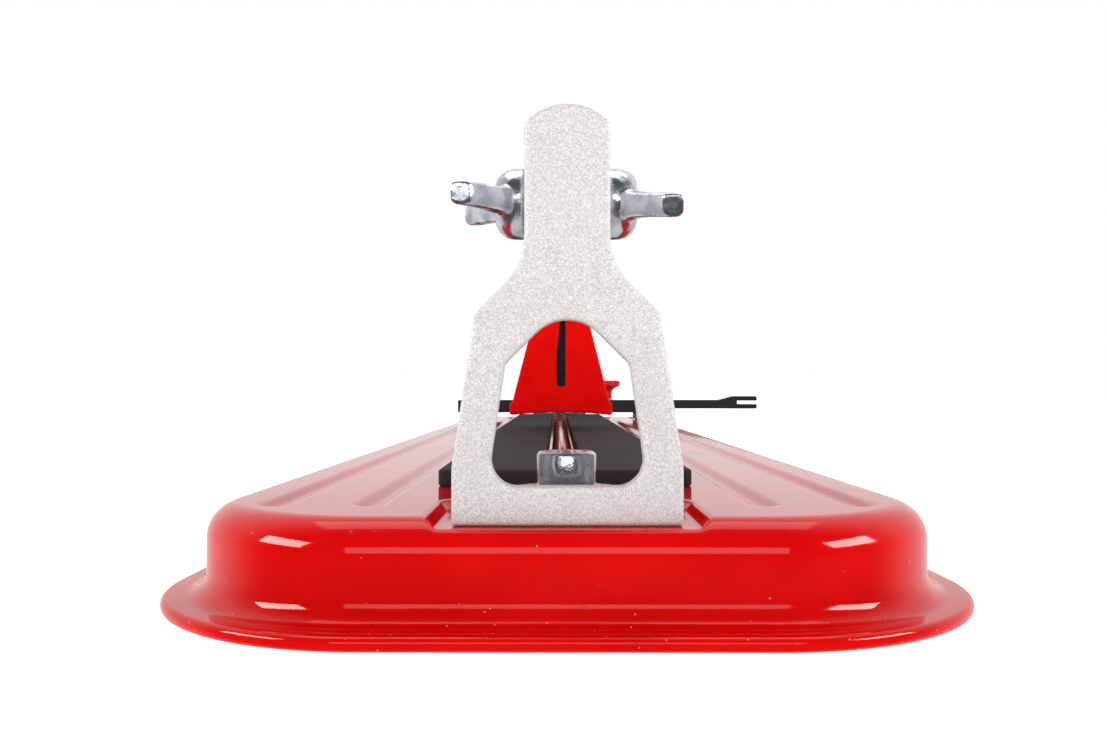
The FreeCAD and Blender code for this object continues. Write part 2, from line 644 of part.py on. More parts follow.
def make_end_screw():
    """Countersunk screw that holds a block on the rail's end."""
    start = -BLOCK_OUTER_Y + GAP
    head_length = END_SCREW_HEAD_RADIUS - M6_RADIUS
    head = Part.makeCone(END_SCREW_HEAD_RADIUS, M6_RADIUS, head_length,
                         Vector(0, start, RAIL_Z), Vector(0, 1, 0))
    shank = rod(M6_RADIUS, Vector(0, start + head_length, RAIL_Z),
                Vector(0, start + END_SCREW_LENGTH, RAIL_Z))
    return head.fuse(shank).removeSplitter()


def make_rail_stop(y0, y1):
    """Rubber clip under the rail, open at the top so that the lever's rest pad passes over it."""
    half_width = RAIL_WIDTH / 2 + STOP_WALL
    outer = stadium_bar(half_width, RAIL_HEIGHT / 2 + STOP_WALL, y0, y1)
    clip = outer.cut(stadium_bar(RAIL_WIDTH / 2, RAIL_HEIGHT / 2, y0 - 1, y1 + 1))
    top = RAIL_TOP - STOP_TOP_MARGIN
    return clip.cut(box(-half_width, half_width, y0, y1, top, RAIL_TOP + STOP_WALL))


def make_wing_screw(side, turn):
    """Wing screw at the user's end; side is +1 or -1 along X, turn is in degrees about X."""
    hub_x = BRACKET_NECK_HALF + GAP
    hub_top = hub_x + WING_HUB_HEIGHT
    hub = rod(WING_HUB_RADIUS, Vector(hub_x, 0, 0), Vector(hub_top, 0, 0))
    rims = [e for e in hub.Edges if e.Closed]
    hub = hub.makeFillet(1.2, rims)
    shank = rod(M8_RADIUS, Vector(WING_SHANK_GAP, 0, 0), Vector(hub_top - 2, 0, 0))
    screw = hub.fuse(shank)
    tip_x = hub_x + WING_TIP_HEIGHT
    bar_half = WING_BAR_WIDTH / 2
    inner_x = hub_x + 1.5
    for direction in (-1, 1):
        points = [
            (inner_x, direction * WING_ROOT_RADIUS),
            (tip_x - WING_BAR_THICKNESS - 1.0, direction * WING_REACH),
            (tip_x, direction * WING_REACH),
            (hub_top + 1.0, direction * WING_ROOT_RADIUS * 0.6),
            (hub_top - 1.0, 0),
            (inner_x, 0),
        ]
        corners = [Vector(x, y, -bar_half) for x, y in points]
        wing = Part.Face(Part.makePolygon(corners + corners[:1])).extrude(Vector(0, 0, 2 * bar_half))
        screw = screw.fuse(wing)
    screw = screw.removeSplitter()
    screw.rotate(Vector(0, 0, 0), Vector(1, 0, 0), turn)
    if side < 0:
        screw = mirrored_x(screw)
    screw.translate(Vector(0, -WING_Y, WING_Z))
    return screw


def turned_round(shape):
    """The same piece at the fence end."""
    return at_both_ends(shape)[1]


# ---------------------------------------------------------------- carriage

def make_cheek(side):
    """Carriage side plate, bored for the roller axles and the lever pivot."""
    top = UPPER_ROLLER_Z + ROLLER_RADIUS + CHEEK_TOP_MARGIN
    bottom = LOWER_ROLLER_Z - ROLLER_RADIUS - CHEEK_TOP_MARGIN
    lug_front = PIVOT_Y - PIVOT_LUG_RADIUS
    lug_rear = PIVOT_Y + PIVOT_LUG_RADIUS + 4
    points = [
        (lug_front, PIVOT_Z - PIVOT_LUG_RADIUS), (lug_rear, PIVOT_Z - PIVOT_LUG_RADIUS),
        (lug_rear + 8, bottom), (CHEEK_REAR, bottom), (CHEEK_REAR, top), (CHEEK_FRONT, top),
        (CHEEK_FRONT, RAIL_BOTTOM - STOP_WALL - 1), (lug_front, PIVOT_Z + PIVOT_LUG_RADIUS),
    ]
    cheek = side_plate(points, CHEEK_INNER, CHEEK_OUTER, 4.0)
    for y in ROLLER_Y:
        for z in (UPPER_ROLLER_Z, LOWER_ROLLER_Z):
            cheek = cheek.cut(rod(AXLE_RADIUS, Vector(0, y, z), Vector(LARGE, y, z)))
    cheek = cheek.cut(rod(PIVOT_RADIUS, Vector(0, PIVOT_Y, PIVOT_Z), Vector(LARGE, PIVOT_Y, PIVOT_Z)))
    return cheek if side > 0 else mirrored_x(cheek)


def make_roller(y, z):
    """Grooved roller that runs on the rail's round edge."""
    groove = RAIL_WIDTH / 2 + GAP
    half = ROLLER_WIDTH / 2
    blank = rod(ROLLER_RADIUS, Vector(-half, y, z), Vector(half, y, z))
    ring = Part.makeTorus(ROLLER_GROOVE_FLOOR + groove, groove, Vector(0, y, z), Vector(1, 0, 0))
    bore = rod(AXLE_RADIUS + RUNNING, Vector(-LARGE, y, z), Vector(LARGE, y, z))
    return blank.cut([ring, bore])


def make_roller_axle(y, z):
    """Riveted axle across both cheeks."""
    end = CHEEK_OUTER + AXLE_HEAD_HEIGHT
    axle = rod(AXLE_RADIUS, Vector(-end, y, z), Vector(end, y, z))
    for side in (-1, 1):
        axle = axle.fuse(rod(AXLE_HEAD_RADIUS, Vector(side * CHEEK_OUTER, y, z), Vector(side * end, y, z)))
    return axle.removeSplitter()


def make_pivot():
    """Lever pivot pin, and the clips that keep the fork on it."""
    clip_x = FORK_OUTER + GAP
    clip_thickness = 1.2
    end = clip_x + clip_thickness + 1.0
    pin = rod(PIVOT_RADIUS, Vector(-end, PIVOT_Y, PIVOT_Z), Vector(end, PIVOT_Y, PIVOT_Z))
    clips = []
    for side in (-1, 1):
        start = Vector(side * clip_x, PIVOT_Y, PIVOT_Z)
        stop = Vector(side * (clip_x + clip_thickness), PIVOT_Y, PIVOT_Z)
        clips.append(tube(PIVOT_RADIUS + 2.5, PIVOT_RADIUS, start, stop))
    save("pivot_pin", pin)
    save("pivot_clips", clips)


# ---------------------------------------------------------------- lever

def handle_point(y):
    """Point on the handle's axis at a given y; the axis rises gently towards the user."""
    rise = (BRIDGE_REAR_Y - y) * math.tan(math.radians(HANDLE_RISE_DEG))
    return Vector(0, y, SOCKET_Z + rise)


def make_fork():
    """Lever casting: two arms outside the cheeks, joined above the rail by a socket block."""
    foot_back = FOOT_FRONT_Y + FOOT_PLATE
    points = [
        (foot_back, FOOT_LOWER_Z), (foot_back, RAIL_BOTTOM - 2), (BRIDGE_FRONT_Y, BRIDGE_BOTTOM_Z),
        (BRIDGE_FRONT_Y, BRIDGE_TOP_Z), (BRIDGE_REAR_Y, BRIDGE_TOP_Z), (BRIDGE_REAR_Y + 7, BRIDGE_BOTTOM_Z),
        (PIVOT_Y - 7, RAIL_Z - 4), (PIVOT_Y + PIVOT_LUG_RADIUS, PIVOT_Z + 5),
        (WHEEL_Y + HOLDER_HALF_LENGTH, HOLDER_TOP_Z - 2), (WHEEL_Y + HOLDER_HALF_LENGTH + 1.5, WHEEL_Z),
        (WHEEL_Y + HOLDER_HALF_LENGTH - 2, HOLDER_BOTTOM_Z - 0.5),
        (WHEEL_Y - HOLDER_HALF_LENGTH, HOLDER_BOTTOM_Z - 0.5), (PIVOT_Y + 6, PIVOT_Z - 15),
        (PIVOT_Y - 6, FOOT_LOWER_Z + 3),
    ]
    arm = side_plate(points, FORK_INNER, FORK_OUTER, 1.4)
    pivot_bore = rod(PIVOT_RADIUS + RUNNING, Vector(0, PIVOT_Y, PIVOT_Z), Vector(LARGE, PIVOT_Y, PIVOT_Z))
    arm = arm.cut(pivot_bore)
    bridge = box(-FORK_INNER - 1, FORK_INNER + 1, BRIDGE_FRONT_Y + 1, BRIDGE_REAR_Y,
                 BRIDGE_BOTTOM_Z + 1, BRIDGE_TOP_Z - 1)
    boss = rod(SOCKET_BOSS_RADIUS, handle_point(BRIDGE_FRONT_Y - SOCKET_BOSS_LENGTH),
               handle_point(BRIDGE_REAR_Y - 2))
    fork = arm.fuse([mirrored_x(arm), bridge, boss])
    socket = rod(TUBE_RADIUS, handle_point(BRIDGE_FRONT_Y - SOCKET_BOSS_LENGTH - 5),
                 handle_point(BRIDGE_REAR_Y - 6))
    fork = fork.cut([socket, make_lever_bumper()])
    for side in (-1, 1):
        for y, z in (holder_screw_place(), foot_screw_place()):
            fork = fork.cut(rod(M5_RADIUS, Vector(side * (FORK_INNER - 1), y, z),
                                Vector(side * (FORK_OUTER + 1), y, z)))
    return fork.removeSplitter()


def holder_screw_place():
    """(y, z) of the screws that hold the wheel holder in the fork."""
    return WHEEL_Y, HOLDER_TOP_Z - 5.0


def foot_screw_place():
    """(y, z) of the screws that hold the breaker foot in the fork."""
    return FOOT_FRONT_Y + FOOT_PLATE + 5.0, FOOT_LOWER_Z + 6.6


def make_breaker_foot():
    """Slotted plate in front of the fork, wide bead below, arched along its bottom edge."""
    y0 = FOOT_FRONT_Y
    bead_top = FOOT_BOTTOM_Z + FOOT_BEAD_HEIGHT
    points = [
        (-FOOT_LOWER_HALF - 0.6, bead_top - 1), (FOOT_LOWER_HALF + 0.6, bead_top - 1),
        (FOOT_LOWER_HALF, FOOT_LOWER_Z), (FORK_OUTER, FOOT_UPPER_Z), (FORK_OUTER, FOOT_TOP_Z),
        (-FORK_OUTER, FOOT_TOP_Z), (-FORK_OUTER, FOOT_UPPER_Z), (-FOOT_LOWER_HALF, FOOT_LOWER_Z),
    ]
    plate = front_plate(points, y0, y0 + FOOT_PLATE)
    bead = box(-FOOT_BEAD_HALF, FOOT_BEAD_HALF, y0, y0 + FOOT_BEAD_DEPTH, FOOT_BOTTOM_Z, bead_top)
    long_edges = [e for e in bead.Edges if e.BoundBox.YLength > 1]
    bead = bead.makeFillet(1.6, long_edges)
    arch_radius = (FOOT_BEAD_HALF ** 2 + FOOT_ARCH ** 2) / (2 * FOOT_ARCH)
    arch_z = FOOT_BOTTOM_Z + FOOT_ARCH - arch_radius
    arch = rod(arch_radius, Vector(0, y0 - 1, arch_z), Vector(0, y0 + FOOT_BEAD_DEPTH + 1, arch_z))
    ear_y, ear_z = foot_screw_place()
    ear_inner = FORK_INNER - FOOT_EAR_THICKNESS
    ear_block = box(-FORK_INNER, FORK_INNER, y0 + FOOT_PLATE, ear_y + 5, FOOT_LOWER_Z, ear_z + 5)
    ear_block = ear_block.cut(box(-ear_inner, ear_inner, -LARGE, LARGE, 0, LARGE))
    half = FOOT_SLOT_WIDTH / 2
    slot_points = [
        (-half, FOOT_SLOT_BOTTOM_Z), (half, FOOT_SLOT_BOTTOM_Z), (half, FOOT_TOP_Z + 1),
        (-half + FOOT_SLOT_NARROWING, FOOT_TOP_Z + 1), (-half, FOOT_SLOT_STEP_Z),
    ]
    slot = front_plate(slot_points, y0 - 1, y0 + FOOT_PLATE + 1)
    foot = plate.fuse([bead, ear_block]).cut([arch, slot])
    for side in (-1, 1):
        foot = foot.cut(rod(M5_RADIUS, Vector(side * (ear_inner + 1), ear_y, ear_z),
                            Vector(side * (FORK_INNER + 1), ear_y, ear_z)))
    return foot.removeSplitter()


def make_slot_strip():
    """Blackened strip held between the foot's ears, closing its slot from behind."""
    half = FORK_INNER - FOOT_EAR_THICKNESS
    back_y = FOOT_FRONT_Y + FOOT_PLATE
    return box(-half, half, back_y, back_y + SLOT_STRIP_THICKNESS,
               FOOT_SLOT_BOTTOM_Z - SLOT_STRIP_OVERLAP, FOOT_TOP_Z)


def make_side_screws(place, inner_x):
    """Pan-head screws driven in from both sides of the fork."""
    y, z = place
    screws = []
    for side in (-1, 1):
        shank = rod(M5_RADIUS, Vector(side * inner_x, y, z), Vector(side * (FORK_OUTER + 1), y, z))
        head = rod(M5_HEAD_RADIUS, Vector(side * FORK_OUTER, y, z),
                   Vector(side * (FORK_OUTER + M5_HEAD_HEIGHT), y, z))
        outer_rim = [e for e in head.Edges if e.Closed and abs(e.BoundBox.Center.x) > FORK_OUTER + 1]
        head = head.makeFillet(1.0, outer_rim)
        screws.append(shank.fuse(head).removeSplitter())
    return screws


def make_wheel_holder():
    """Steel block between the fork's rear arms, slotted for the wheel."""
    block = box(-FORK_INNER, FORK_INNER, WHEEL_Y - HOLDER_HALF_LENGTH + 1,
                WHEEL_Y + HOLDER_HALF_LENGTH - 1, HOLDER_BOTTOM_Z, HOLDER_TOP_Z)
    top_edges = [e for e in block.Edges if e.BoundBox.XLength > 1 and e.BoundBox.ZMin > WHEEL_Z]
    block = block.makeChamfer(1.5, top_edges)
    half = WHEEL_THICKNESS / 2 + GAP
    slot = box(-half, half, -LARGE, LARGE, 0, WHEEL_Z + WHEEL_RADIUS + 0.8)
    waist = box(HOLDER_WAIST_HALF, FORK_INNER - HOLDER_CHEEK, -LARGE, LARGE, 0, HOLDER_TOP_Z - 9)
    axle = rod(WHEEL_AXLE_RADIUS, Vector(-LARGE, WHEEL_Y, WHEEL_Z), Vector(LARGE, WHEEL_Y, WHEEL_Z))
    block = block.cut([slot, waist, mirrored_x(waist), axle])
    y, z = holder_screw_place()
    for side in (-1, 1):
        block = block.cut(rod(M5_RADIUS, Vector(side * HOLDER_WAIST_HALF, y, z), Vector(side * LARGE, y, z)))
    return block


def make_cutting_wheel():
    """Carbide wheel: thin disc bevelled on both sides to its edge."""
    half = WHEEL_THICKNESS / 2
    inner = WHEEL_RADIUS - 1.8
    disc = rod(inner, Vector(-half, WHEEL_Y, WHEEL_Z), Vector(half, WHEEL_Y, WHEEL_Z))
    for side in (-1, 1):
        bevel = Part.makeCone(WHEEL_RADIUS, inner, half, Vector(0, WHEEL_Y, WHEEL_Z), Vector(side, 0, 0))
        disc = disc.fuse(bevel)
    bore = rod(WHEEL_AXLE_RADIUS + RUNNING, Vector(-half - 1, WHEEL_Y, WHEEL_Z),
               Vector(half + 1, WHEEL_Y, WHEEL_Z))
    return disc.cut(bore).removeSplitter()


def make_lever_bumper():
    """Rubber pad seated under the fork's bridge, just clear of the rail."""
    return box(-4.5, 4.5, BRIDGE_FRONT_Y + 6, BRIDGE_REAR_Y - 6, RAIL_TOP + GAP, BRIDGE_BOTTOM_Z + 1)


def make_grip():
    """Soft grip: a sleeve with round ends, pushed on the tube."""
    start = handle_point(GRIP_START_Y)
    end = handle_point(GRIP_START_Y - GRIP_LENGTH)
    sleeve = rod(GRIP_RADIUS, start, end)
    sleeve = sleeve.makeFillet(2.5, [e for e in sleeve.Edges if e.Closed])
    return sleeve.cut(rod(TUBE_RADIUS, start + (start - end), end + (end - start)))


# ---------------------------------------------------------------- fence

def make_fence_bar():
    """Channel across the base, its groove open upwards and at both ends."""
    y0 = FENCE_Y - FENCE_HALF_DEPTH
    y1 = FENCE_Y + FENCE_HALF_DEPTH
    bar = box(-FENCE_HALF_WIDTH, FENCE_HALF_WIDTH, y0, y1, FENCE_BOTTOM_Z, FENCE_TOP_Z)
    groove = box(-LARGE, LARGE, FENCE_Y - FENCE_GROOVE_HALF, FENCE_Y + FENCE_GROOVE_HALF,
                 FENCE_BOTTOM_Z + FENCE_FLOOR, LARGE)
    bar = bar.cut(groove)
    for x in (-FENCE_SCREW_X, FENCE_SCREW_X):
        hole = rod(M5_RADIUS, Vector(x, FENCE_Y, 0), Vector(x, FENCE_Y, LARGE))
        seat = Part.makeCone(M5_RADIUS, M5_HEAD_RADIUS, M5_HEAD_RADIUS - M5_RADIUS,
                             Vector(x, FENCE_Y, FENCE_BOTTOM_Z + FENCE_FLOOR - M5_HEAD_RADIUS + M5_RADIUS))
        bar = bar.cut([hole, seat])
    stud_hole = rod(M6_RADIUS + RUNNING, Vector(KNOB_X, FENCE_Y, 0), Vector(KNOB_X, FENCE_Y, LARGE))
    return bar.cut(stud_hole)


def make_fence_fasteners():
    """Countersunk screws, spacers between fence and base, and nuts under the pan."""
    screws = []
    spacers = []
    nuts = []
    floor_z = FENCE_BOTTOM_Z + FENCE_FLOOR
    head_length = M5_HEAD_RADIUS - M5_RADIUS
    nut_top = BASE_HEIGHT - GROOVE_DEPTH - SHEET
    for x in (-FENCE_SCREW_X, FENCE_SCREW_X):
        head = Part.makeCone(M5_RADIUS, M5_HEAD_RADIUS, head_length, Vector(x, FENCE_Y, floor_z - head_length))
        shank = rod(M5_RADIUS, Vector(x, FENCE_Y, nut_top - 5), Vector(x, FENCE_Y, floor_z - head_length))
        screws.append(head.fuse(shank).removeSplitter())
        spacers.append(tube(SPACER_RADIUS, M5_RADIUS, Vector(x, FENCE_Y, BASE_HEIGHT),
                            Vector(x, FENCE_Y, FENCE_BOTTOM_Z)))
        nut = hexagon(8.0, Vector(x, FENCE_Y, nut_top - 4), Vector(x, FENCE_Y, nut_top))
        nuts.append(nut.cut(rod(M5_RADIUS, Vector(x, FENCE_Y, 0), Vector(x, FENCE_Y, LARGE))))
    save("fence_screws", screws)
    save("fence_spacers", spacers)
    save("fence_nuts", nuts)


def make_measuring_arm():
    """Slotted flat bar that slides in the fence, ending in an open fork."""
    y0 = FENCE_Y - ARM_HALF_DEPTH
    y1 = FENCE_Y + ARM_HALF_DEPTH
    arm = box(ARM_START_X, ARM_END_X, y0, y1, ARM_BOTTOM_Z, ARM_TOP_Z)
    middle = (ARM_BOTTOM_Z + ARM_TOP_Z) / 2 + FORK_END_LIFT
    low = middle - FORK_END_HEIGHT / 2
    high = middle + FORK_END_HEIGHT / 2
    points = [
        (ARM_END_X - 18, ARM_BOTTOM_Z), (ARM_END_X - 4, low), (FORK_END_X, low),
        (FORK_END_X, high), (ARM_END_X - 6, high), (ARM_END_X - 18, ARM_TOP_Z),
    ]
    fork = front_plate(points, y0, y1)
    fork = fork.makeFillet(1.5, [e for e in fork.Edges if e.BoundBox.XMin > FORK_END_X - 1
                                 and e.BoundBox.YLength > 1])
    mouth = box(ARM_END_X - 3, LARGE, y0 - 1, y1 + 1, middle - FORK_END_SLOT / 2, middle + FORK_END_SLOT / 2)
    slot_half = M6_RADIUS + GAP
    slot = box(ARM_SLOT_START_X, ARM_SLOT_END_X, FENCE_Y - slot_half, FENCE_Y + slot_half, 0, LARGE)
    slot_ends = []
    for x in (ARM_SLOT_START_X, ARM_SLOT_END_X):
        slot_ends.append(rod(slot_half, Vector(x, FENCE_Y, 0), Vector(x, FENCE_Y, LARGE)))
    return arm.fuse(fork).cut([mouth, slot] + slot_ends).removeSplitter()


def make_knob():
    """Clamp knob with a flared top, the washer under it and its stud."""
    washer_z = ARM_TOP_Z + GAP
    knob_z = washer_z + KNOB_WASHER_THICKNESS
    top_z = knob_z + KNOB_HEIGHT
    place = Vector(KNOB_X, FENCE_Y, 0)
    outline = [
        Vector(0, 0, knob_z), Vector(KNOB_NECK_RADIUS, 0, knob_z),
        Vector(KNOB_NECK_RADIUS, 0, knob_z + KNOB_HEIGHT * 0.3),
    ]
    flare_start = outline[-1]
    flare_end = Vector(KNOB_RADIUS, 0, top_z - 4.5)
    flare_middle = Vector(KNOB_NECK_RADIUS + (KNOB_RADIUS - KNOB_NECK_RADIUS) * 0.32, 0,
                          knob_z + KNOB_HEIGHT * 0.52)
    rim = Vector(KNOB_RADIUS, 0, top_z - 1.5)
    rim_in = Vector(KNOB_RADIUS - 1.5, 0, top_z)
    centre = Vector(0, 0, top_z)
    edges = [line(outline[0], outline[1]), line(outline[1], outline[2])]
    edges += [arc(flare_start, flare_middle, flare_end), line(flare_end, rim)]
    edges += [line(rim, rim_in), line(rim_in, centre), line(centre, outline[0])]
    knob = face_of(edges).revolve(Vector(0, 0, 0), Vector(0, 0, 1), 360)
    knob.translate(place)
    stud_bottom = Vector(KNOB_X, FENCE_Y, FENCE_BOTTOM_Z + GAP)
    stud_top = Vector(KNOB_X, FENCE_Y, knob_z + KNOB_HEIGHT / 2)
    stud = rod(M6_RADIUS, stud_bottom, stud_top)
    washer = tube(KNOB_WASHER_RADIUS, M6_RADIUS, Vector(KNOB_X, FENCE_Y, washer_z),
                  Vector(KNOB_X, FENCE_Y, knob_z))
    save("clamp_knob", knob.cut(stud))
    save("knob_stud", stud)
    save("knob_washer", washer)


# ---------------------------------------------------------------- the whole cutter

def build_base():
    pan = make_base_pan()
    save("base_pan", pan)
    save("breaking_ridge", make_ridge())
    save("left_pad", make_pad(-1))
    save("right_pad", make_pad(1))
    save("centre_beam", make_centre_beam())
    save("rubber_feet", make_rubber_feet(pan))
    front, rear = at_both_ends(make_bracket())
    save("front_bracket", front)
    save("rear_bracket", rear)
    make_bracket_fasteners()
    save("fence_bar", make_fence_bar())
    make_fence_fasteners()


def build_rail():
    save("guide_rail", make_rail())
    front_block, rear_block = at_both_ends(make_end_block())
    save("front_end_block", front_block)
    save("rear_end_block", rear_block)
    save("end_screws", at_both_ends(make_end_screw()))
    front_stop_y = -BLOCK_INNER_Y + FRONT_STOP_MARGIN
    rear_stop_y = BLOCK_INNER_Y - REAR_STOP_MARGIN
    stops = [make_rail_stop(front_stop_y, front_stop_y + STOP_LENGTH)]
    stops.append(make_rail_stop(rear_stop_y - STOP_LENGTH, rear_stop_y))
    save("rail_stops", stops)
    save("front_left_wing_screw", make_wing_screw(-1, LEFT_WING_TURN))
    save("front_right_wing_screw", make_wing_screw(1, RIGHT_WING_TURN))
    save("rear_left_wing_screw", turned_round(make_wing_screw(1, LEFT_WING_TURN)))
    save("rear_right_wing_screw", turned_round(make_wing_screw(-1, RIGHT_WING_TURN)))


def build_carriage():
    save("left_cheek", make_cheek(-1))
    save("right_cheek", make_cheek(1))
    axles = []
    rows = (("upper", UPPER_ROLLER_Z), ("lower", LOWER_ROLLER_Z))
    for row, z in rows:
        for place, y in zip(("front", "rear"), ROLLER_Y):
            save(row + "_" + place + "_roller", make_roller(y, z))
            axles.append(make_roller_axle(y, z))
    save("roller_axles", axles)
    make_pivot()


def build_lever():
    save("lever_fork", make_fork())
    save("breaker_foot", make_breaker_foot())
    save("slot_strip", make_slot_strip())
    ear_inner = FORK_INNER - FOOT_EAR_THICKNESS
    save("foot_screws", make_side_screws(foot_screw_place(), ear_inner + 1))
    save("wheel_holder", make_wheel_holder())
    save("holder_screws", make_side_screws(holder_screw_place(), HOLDER_WAIST_HALF + 1))
    save("wheel_axle", rod(WHEEL_AXLE_RADIUS, Vector(-HOLDER_WAIST_HALF, WHEEL_Y, WHEEL_Z),
                           Vector(HOLDER_WAIST_HALF, WHEEL_Y, WHEEL_Z)))
    save("cutting_wheel", make_cutting_wheel())
    tube_start = handle_point(BRIDGE_REAR_Y - 6)
    grip_end = handle_point(GRIP_START_Y - GRIP_LENGTH)
    save("lever_tube", tube(TUBE_RADIUS, TUBE_RADIUS - TUBE_WALL, tube_start, grip_end))
    save("grip", make_grip())
    cap_end = handle_point(GRIP_START_Y - GRIP_LENGTH - GRIP_CAP_LENGTH)
    cap = rod(GRIP_RADIUS - 1.0, grip_end, cap_end)
    cap = cap.makeFillet(2.0, [e for e in cap.Edges if e.Closed and e.BoundBox.YMin < grip_end.y - 3])
    save("grip_cap", cap)
    save("lever_bumper", make_lever_bumper())


def build_fence_arm():
    save("measuring_arm", make_measuring_arm())
    make_knob()


def main():
    os.makedirs("parts", exist_ok=True)
    build_base()
    build_rail()
    build_carriage()
    build_lever()
    build_fence_arm()


main()
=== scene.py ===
import json
import math

import bmesh
import bpy
import numpy as np
from bpy.props import FloatProperty, FloatVectorProperty, IntProperty, PointerProperty
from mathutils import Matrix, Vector

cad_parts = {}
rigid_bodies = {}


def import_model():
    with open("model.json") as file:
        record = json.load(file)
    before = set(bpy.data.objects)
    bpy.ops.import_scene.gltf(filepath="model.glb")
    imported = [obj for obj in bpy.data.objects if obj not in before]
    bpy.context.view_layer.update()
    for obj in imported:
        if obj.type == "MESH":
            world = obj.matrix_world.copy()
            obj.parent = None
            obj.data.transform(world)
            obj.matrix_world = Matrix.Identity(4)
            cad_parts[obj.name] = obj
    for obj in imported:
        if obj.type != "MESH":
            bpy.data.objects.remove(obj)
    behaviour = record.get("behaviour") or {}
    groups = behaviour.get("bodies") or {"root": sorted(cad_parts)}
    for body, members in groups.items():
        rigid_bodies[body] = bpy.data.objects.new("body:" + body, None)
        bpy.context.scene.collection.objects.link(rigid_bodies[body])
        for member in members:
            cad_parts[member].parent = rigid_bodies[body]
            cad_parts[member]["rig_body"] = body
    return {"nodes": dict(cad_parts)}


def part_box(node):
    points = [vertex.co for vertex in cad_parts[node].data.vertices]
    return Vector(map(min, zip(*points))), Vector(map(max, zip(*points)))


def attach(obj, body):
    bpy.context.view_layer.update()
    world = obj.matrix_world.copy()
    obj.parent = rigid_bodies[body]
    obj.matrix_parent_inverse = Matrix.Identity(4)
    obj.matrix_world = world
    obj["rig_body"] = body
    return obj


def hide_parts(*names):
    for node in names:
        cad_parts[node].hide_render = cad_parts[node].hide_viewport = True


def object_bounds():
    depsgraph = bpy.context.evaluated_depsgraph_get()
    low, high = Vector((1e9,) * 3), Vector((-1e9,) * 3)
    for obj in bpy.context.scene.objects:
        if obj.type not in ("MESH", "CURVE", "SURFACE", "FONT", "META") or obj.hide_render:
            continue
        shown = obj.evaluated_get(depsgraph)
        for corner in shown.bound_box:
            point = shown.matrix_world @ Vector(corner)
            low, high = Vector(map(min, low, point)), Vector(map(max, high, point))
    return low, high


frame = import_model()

bl_info = {
    "name": "Bench tile cutter",
    "version": (1, 0, 0),
    "blender": (4, 5, 0),
    "location": "3D View > Sidebar > Tile Cutter",
    "description": "Surfaces and finishes of a single-rail tile cutter, built round its CAD frame",
    "category": "Object",
}

MM = 0.001
SEAM_GAP = 0.002 * MM
CAD_SEAM_GAP = 0.01 * MM
CAD_LOW, CAD_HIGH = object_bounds()


# ---------------------------------------------------------------- sizes and colours

def length_property(name, description, millimetres):
    """Property of a PropertyGroup that holds a length."""
    return FloatProperty(
        name=name, description=description, default=millimetres * MM, unit="LENGTH")


def colour_property(name, description, value):
    """Property of a PropertyGroup that holds a colour."""
    return FloatVectorProperty(
        name=name, description=description, default=value, subtype="COLOR")


class CutterSizes(bpy.types.PropertyGroup):
    """Lengths of the finishing work, in metres."""

    flange: length_property("Flange width", "Reach of the pan's flange beyond its wall", 9.5)
    corner: length_property("Pan corner", "Radius of the pan's corners at the flange", 54)
    top_edge: length_property("Top edge", "Radius of the pan's rolled top edge", 7.5)
    root_edge: length_property("Root edge", "Radius between the pan's wall and its flange", 5)
    sheet: length_property("Sheet", "Thickness of the pan's steel", 1.2)
    hem: length_property("Hem", "Thickness and depth of the flange's folded hem", 3)
    groove_depth: length_property("Groove depth", "Depth of the pan's long grooves", 1.1)
    casting_voxel: length_property("Casting voxel", "Mesh size of the die-cast pieces", 0.55)
    small_voxel: length_property("Small voxel", "Mesh size of the wing screws", 0.3)
    thread_pitch: length_property("Thread pitch", "Pitch of the bracket screws' thread", 1.25)
    turns: IntProperty(
        name="Round steps", description="Faces round a turned piece", default=72)


class CutterColours(bpy.types.PropertyGroup):
    """Base colours of the finishes."""

    enamel: colour_property("Enamel", "Stoved red enamel", (0.53, 0.0011, 0.001))
    cast_red: colour_property(
        "Painted casting", "Red powder paint on the castings", (0.71, 0.0011, 0.001))
    casting: colour_property("Bare casting", "Blasted light alloy", (0.60, 0.585, 0.575))
    zinc: colour_property("Zinc", "Bright zinc plating", (0.70, 0.75, 0.83))
    foam: colour_property("Foam rubber", "Black cushion sheet", (0.015, 0.010, 0.010))
    floor: colour_property("Floor", "Pale bench top", (0.9, 0.9, 0.9))


def sizes():
    return bpy.context.scene.cutter_sizes


def colours():
    return bpy.context.scene.cutter_colours


# ---------------------------------------------------------------- surfaces

def quads(rows, cols, wrap):
    """Faces of a grid: each joins a point with the next column, the next row and both."""
    across = np.arange(cols if wrap else cols - 1)
    row, col = np.meshgrid(np.arange(rows - 1), across, indexing="ij")
    beside = (col + 1) % cols
    near, far = row * cols, (row + 1) * cols
    return np.stack([near + col, near + beside, far + beside, far + col], -1).reshape(-1, 4)


def grid(points, wrap=False):
    """A part of a piece from an array of rows, columns and coordinates."""
    rows, cols = points.shape[:2]
    return points.reshape(-1, 3), quads(rows, cols, wrap)


def rounded(corners, radius, steps=5):
    """Path through corners whose inner turns are parabolas that leave each side a radius away."""
    corners = np.asarray(corners, float)
    path = [corners[:1]]
    share = np.linspace(0, 1, steps)[:, None]
    for before, corner, after in zip(corners, corners[1:], corners[2:]):
        into, out = before - corner, after - corner
        reach = min(radius, 0.49 * np.hypot(*into), 0.49 * np.hypot(*out))
        start = corner + into / np.hypot(*into) * reach
        end = corner + out / np.hypot(*out) * reach
        path.append((1 - share) ** 2 * start + 2 * share * (1 - share) * corner + share ** 2 * end)
    path.append(corners[-1:])
    return np.concatenate(path)


def bend(centre, radius, start, stop, steps=9):
    """Points on a circle's arc between two angles in degrees."""
    angle = np.radians(np.linspace(start, stop, steps))
    return np.column_stack([centre[0] + radius * np.cos(angle), centre[1] + radius * np.sin(angle)])


